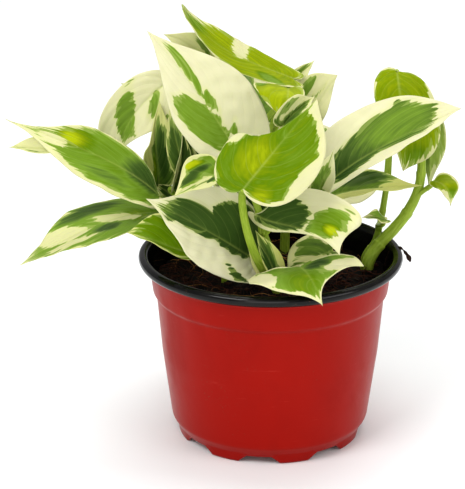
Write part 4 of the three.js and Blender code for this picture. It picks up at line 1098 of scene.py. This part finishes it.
# leaf: vine, place on it, the way the stalk leaves it, pull of its curve at both ends, the share
# of its last way that runs along the blade and square to it, and how many times thicker it is
stalks = {
    "heart_front": ("front", 0.5, (-0.5, -0.75, 0.7), 0.5, 0.4, 0.5, 0.85, 1.5),
    "wide_right": ("front", 0.95, (-0.1, -0.1, 1), 0.4, 0.35, 0.6, 0.8),
    "tall_cream": ("front", 1, (-0.1, 0.3, 1), 0.35, 0.3, 0.8, 0.6),
    "small_left": ("mid", 0.7, (-0.4, -0.4, 0.8), 0.35, 0.15, 0.7, 0.7),
    "low_left": ("mid", 0.4, (0, -0.8, 0.5), 0.35, 0.3, 0.5, 0.85),
    "rim_leaf": ("front", 0.6, (0.5, -0.4, 0.6), 0.3, 0.3, 0.6, 0.8),
    "mid_small": ("front", 1, (0.5, -0.4, 1), 0.35, 0.35, 0.6, 0.8),
    "far_left": ("left", 1, (-0.4, 0, 0.9), 0.35, 0.35, 0.7, 0.7),
    "left_low": ("left", 0.9, (-0.6, -0.3, 0.7), 0.3, 0.3, 0.6, 0.8),
    "left_under": ("left", 0.75, (0, -0.6, 0.5), 0.3, 0.3, 0.6, 0.8),
    "narrow_left": ("left", 1, (-0.2, 0.6, 1), 0.35, 0.3, 0.6, 0.8),
    "narrow_b": ("left", 1, (-0.2, 0, 1), 0.35, 0.3, 0.6, 0.8),
    "left_arch": ("mid", 0.94, (-0.4, 0.3, 1), 0.35, 0.3, 0.7, 0.7),
    "back_cream": ("mid", 1, (-0.1, 0.3, 1), 0.35, 0.3, 0.7, 0.7),
    "dark_left": ("mid", 1, (-0.3, 0, 1), 0.35, 0.3, 0.6, 0.8),
    "top_lime": ("mid", 1, (0.3, 0, 1), 0.35, 0.3, 0.7, 0.7),
    "mid_lime": ("mid", 0.88, (0.6, -0.6, 0.8), 0.35, 0.3, 0.5, 0.8),
    "small_tip": ("mid", 0.82, (0.5, 0.5, 1), 0.35, 0.3, 0.8, 0.6),
    "right_big": ("cent", 0.95, (-0.2, -0.5, 1), 0.35, 0.35, 0.7, 0.7),
    "right_mid": ("cent", 1, (0, 0.2, 1), 0.35, 0.35, 0.7, 0.7),
    "back_pale": ("cent", 0.8, (-0.2, 0.6, 1), 0.35, 0.35, 0.8, 0.6),
    "under_leaf": ("cent", 0.75, (0.3, -0.4, 0.8), 0.35, 0.35, 0.6, 0.8),
    "folded": ("front", 1, (0.3, 0.3, 1), 0.35, 0.35, 0.8, 0.6),
    "right_hang": ("right", 0.96, (0, 0.2, 1), 0.35, 0.35, 0.6, 0.8),
    "right_droop": ("right", 0.71, (0.4, 0, 0.9), 0.35, 0.35, 0.7, 0.7),
    "right_top": ("thin", 1, (0.05, 0.1, 1), 0.4, 0.3, 0.7, 0.7),
    "right_thin": ("thin", 0.73, (-0.2, -0.5, 1), 0.35, 0.35, 0.7, 0.7),
    "back_high": ("back", 0.94, (0, 0.1, 1), 0.35, 0.35, 0.8, 0.6),
    "back_left": ("back", 0.88, (-0.6, 0.2, 0.8), 0.35, 0.35, 0.7, 0.7),
    "back_right": ("back", 0.5, (0.9, -0.2, 0.3), 0.5, 0.3, 0.6, 0.8),
    "back_low": ("back", 0.64, (0, 0.5, 0.8), 0.35, 0.35, 0.6, 0.8),
    "back_rim": ("back", 0.58, (-0.6, 0.3, 0.7), 0.35, 0.35, 0.6, 0.8),
    "back_mid": ("back", 0.73, (0.4, 0.3, 0.8), 0.35, 0.35, 0.7, 0.7),
}
print(len(vines), "vines,", len(stalks), "stalks")


# %% Vine and stalk curves
def vine_curve(points, t):
    """Catmull-Rom curve through the points: between two of them a cubic whose slopes are half the
    way from the point before to the point after."""
    p = np.array(points, float)
    p = np.concatenate([[2 * p[0] - p[1]], p, [2 * p[-1] - p[-2]]])
    place = np.clip(np.asarray(t, float) * (len(points) - 1), 0, len(points) - 1 - 1e-9)
    k, f = place.astype(int), (place % 1)[..., None]
    a, b, c, d = p[k], p[k + 1], p[k + 2], p[k + 3]
    return b + 0.5 * f * (c - a + f * (2 * a - 5 * b + 4 * c - d + f * (3 * (b - c) + d - a)))


def vine_strand(points, radii, seed):
    """A vine: it narrows evenly, swells by a tenth round a fine groove at each joint and is a
    little uneven."""
    line = vine_curve(points, np.linspace(0, 1, 24 * (len(points) - 1)))
    total = along(line)[-1]
    joints = 21  # mm from joint to joint

    def radius(length, phi):
        off = (length + 7 * (seed % 3)) % joints - joints / 2
        joint = 0.11 * bell(off, 1.5) - 0.05 * bell(off - 1.6, 0.35) + 0.07 * bell(off - 0.8, 0.35)
        even = radii[0] + (radii[1] - radii[0]) * length / total
        return even * (1 + joint + 0.02 * np.sin(3 * phi + length / 5))

    return strand(line, radius, (0.1, 1.0, 0.0), 24, seed)


def stalk_line(form, vine, place, leave, k0, k1, over, rise):
    """A stalk's curve: a cubic from a point of the vine to the base of the blade, and the way that
    its upper side faces."""
    curve, side = midrib(form)
    base, tangent, _, up = (x[0] for x in rib_frame(curve, side, np.array([0.0])))
    points = vines[vine][0]
    steps = 2 * (len(points) - 1)
    start = vine_curve(points, np.array([math.floor(place * steps + 0.5) / steps]))[0]
    end = base + tangent * 0.6 - up * 0.35
    reach = np.linalg.norm(end - start)
    leaving, arriving = unit(np.array(leave, float)), unit(tangent * over + up * rise)
    pulls = start + leaving * reach * k0, end - arriving * reach * k1
    return bezier(start, *pulls, end, np.linspace(0, 1, 60)), up + 0.2 * tangent


def stalk_strand(seed, form, vine, place, leave, k0, k1, over, rise, stout=1):
    """A stalk, thicker under a large blade: grooved above, with two sheath wings that fade over
    the lower half and a knee near its end."""
    line, upper = stalk_line(form, vine, place, leave, k0, k1, over, rise)
    total = along(line)[-1]
    size = math.dist(form["base"], form["tip"])
    thin = stout * (1 + 0.25 * min(1, max(0, (size - 30) / 40)))

    def radius(length, phi):
        s = length / total
        left = total - length
        low = clamp(1 - s / 0.6)
        round_off = np.abs((phi + np.pi) % (2 * np.pi) - np.pi)
        wing = 0.55 * low**0.7 * bell(round_off - 0.95, 0.24)
        channel = (0.16 + 0.25 * low) * bell(round_off, 0.45) * clamp((0.97 - s) * 12)
        knee = 0.16 * bell(left - 4.5, 2.6) - 0.12 * clamp(1 - left / 1.5)
        return (thin + 0.5 * (1 - s)) * (1 + wing - channel + knee) * np.clip(length / 2 + 0.7, 0.7, 1)

    return strand(line, radius, upper, 22, seed)


print("vine and stalk curves ready")

# %% Stem finish
stem_finish, tree = finish(
    "stem_green",
    Specular_IOR_Level=0.2,
    Subsurface_Weight=0.12,
    Subsurface_Scale=0.002,
    Subsurface_Radius=(0.7, 1.0, 0.3),
)
plan = tree.field("stem_map")["Vector"]
stripe = tree.noise(tree.stretch(plan, (9, 0.9, 1)), 2.0, 3, 0.6)
fleck = tree.noise(tree.stretch(plan, (8, 14, 1)), 3.0, 3, 0.6)
stem = tree.mix(tree.between(stripe, 0.3, 0.7), (0.25, 0.36, 0.03), (0.37, 0.48, 0.065))
stem = tree.mix(tree.times(tree.between(fleck, 0.62, 0.75), 0.35), stem, (0.62, 0.64, 0.30))
tree.coat(stem, tree.scaled(fleck, 0.2, 0.30), tree.math("ADD", stripe, fleck), 0.3)
print("finish:", stem_finish.name)

# %% Vines with their stalks
for count, (name, (points, radii)) in enumerate(vines.items()):
    bodies = [vine_strand(points, radii, count)]
    for seed, (blade_name, row) in enumerate(stalks.items(), start=3):
        if row[0] == name:
            bodies.append(stalk_strand(seed, leaves[blade_name], *row))
    spots, faces, plan = bundle(bodies)
    made = piece("stem_" + name, spots, faces, [stem_finish], stem_map=plan)
    print(name, len(bodies) - 1, "stalks, faces:", stand_in(made, "stem", "vine_" + name))

# %% [markdown]
# ## Studio
# The photograph is a plain product picture: a white floor without a horizon, broad soft
# light from above, both sides and low in front, and a faint shadow under the pot.

# %% Floor and lights
paper, _ = finish("white_paper", Roughness=0.9, Specular_IOR_Level=0.1, Base_Color=(0.93, 0.95, 0.95, 1))
sheet = [(-3000, -3000, 0), (3000, -3000, 0), (3000, 4000, 0), (-3000, 4000, 0)]
floor = piece("floor", sheet, [np.array([[0, 1, 2, 3]])], [paper])
world = bpy.data.worlds.new("studio")
bpy.context.scene.world = world
world.use_nodes = True
background = world.node_tree.nodes["Background"].inputs
background["Color"].default_value = (1, 1, 1, 1)
background["Strength"].default_value = 0.40


def softbox(name, place, aim, size, power):
    """A square light of that size, in metres, that faces the aim point."""
    light = bpy.data.objects.new(name, bpy.data.lights.new(name, "AREA"))
    light.data.size, light.data.energy = size, power
    light.location = place
    light.rotation_euler = (Vector(aim) - Vector(place)).to_track_quat("-Z", "Y").to_euler()
    bpy.context.scene.collection.objects.link(light)


softbox("key_light", (-0.9, -1.0, 1.5), (0, 0, 0.12), 0.9, 15)
softbox("fill_light", (1.3, -0.8, 0.9), (0, 0, 0.12), 1.0, 7)
softbox("top_light", (0.1, 0.5, 1.7), (0, 0, 0.1), 1.2, 14)
softbox("front_light", (-0.1, -1.5, 0.35), (0, 0, 0.08), 0.9, 5)
bpy.context.scene.view_settings.view_transform = "Standard"
bpy.context.scene.view_settings.look = "Medium High Contrast"
print("studio: four softboxes and a white world")
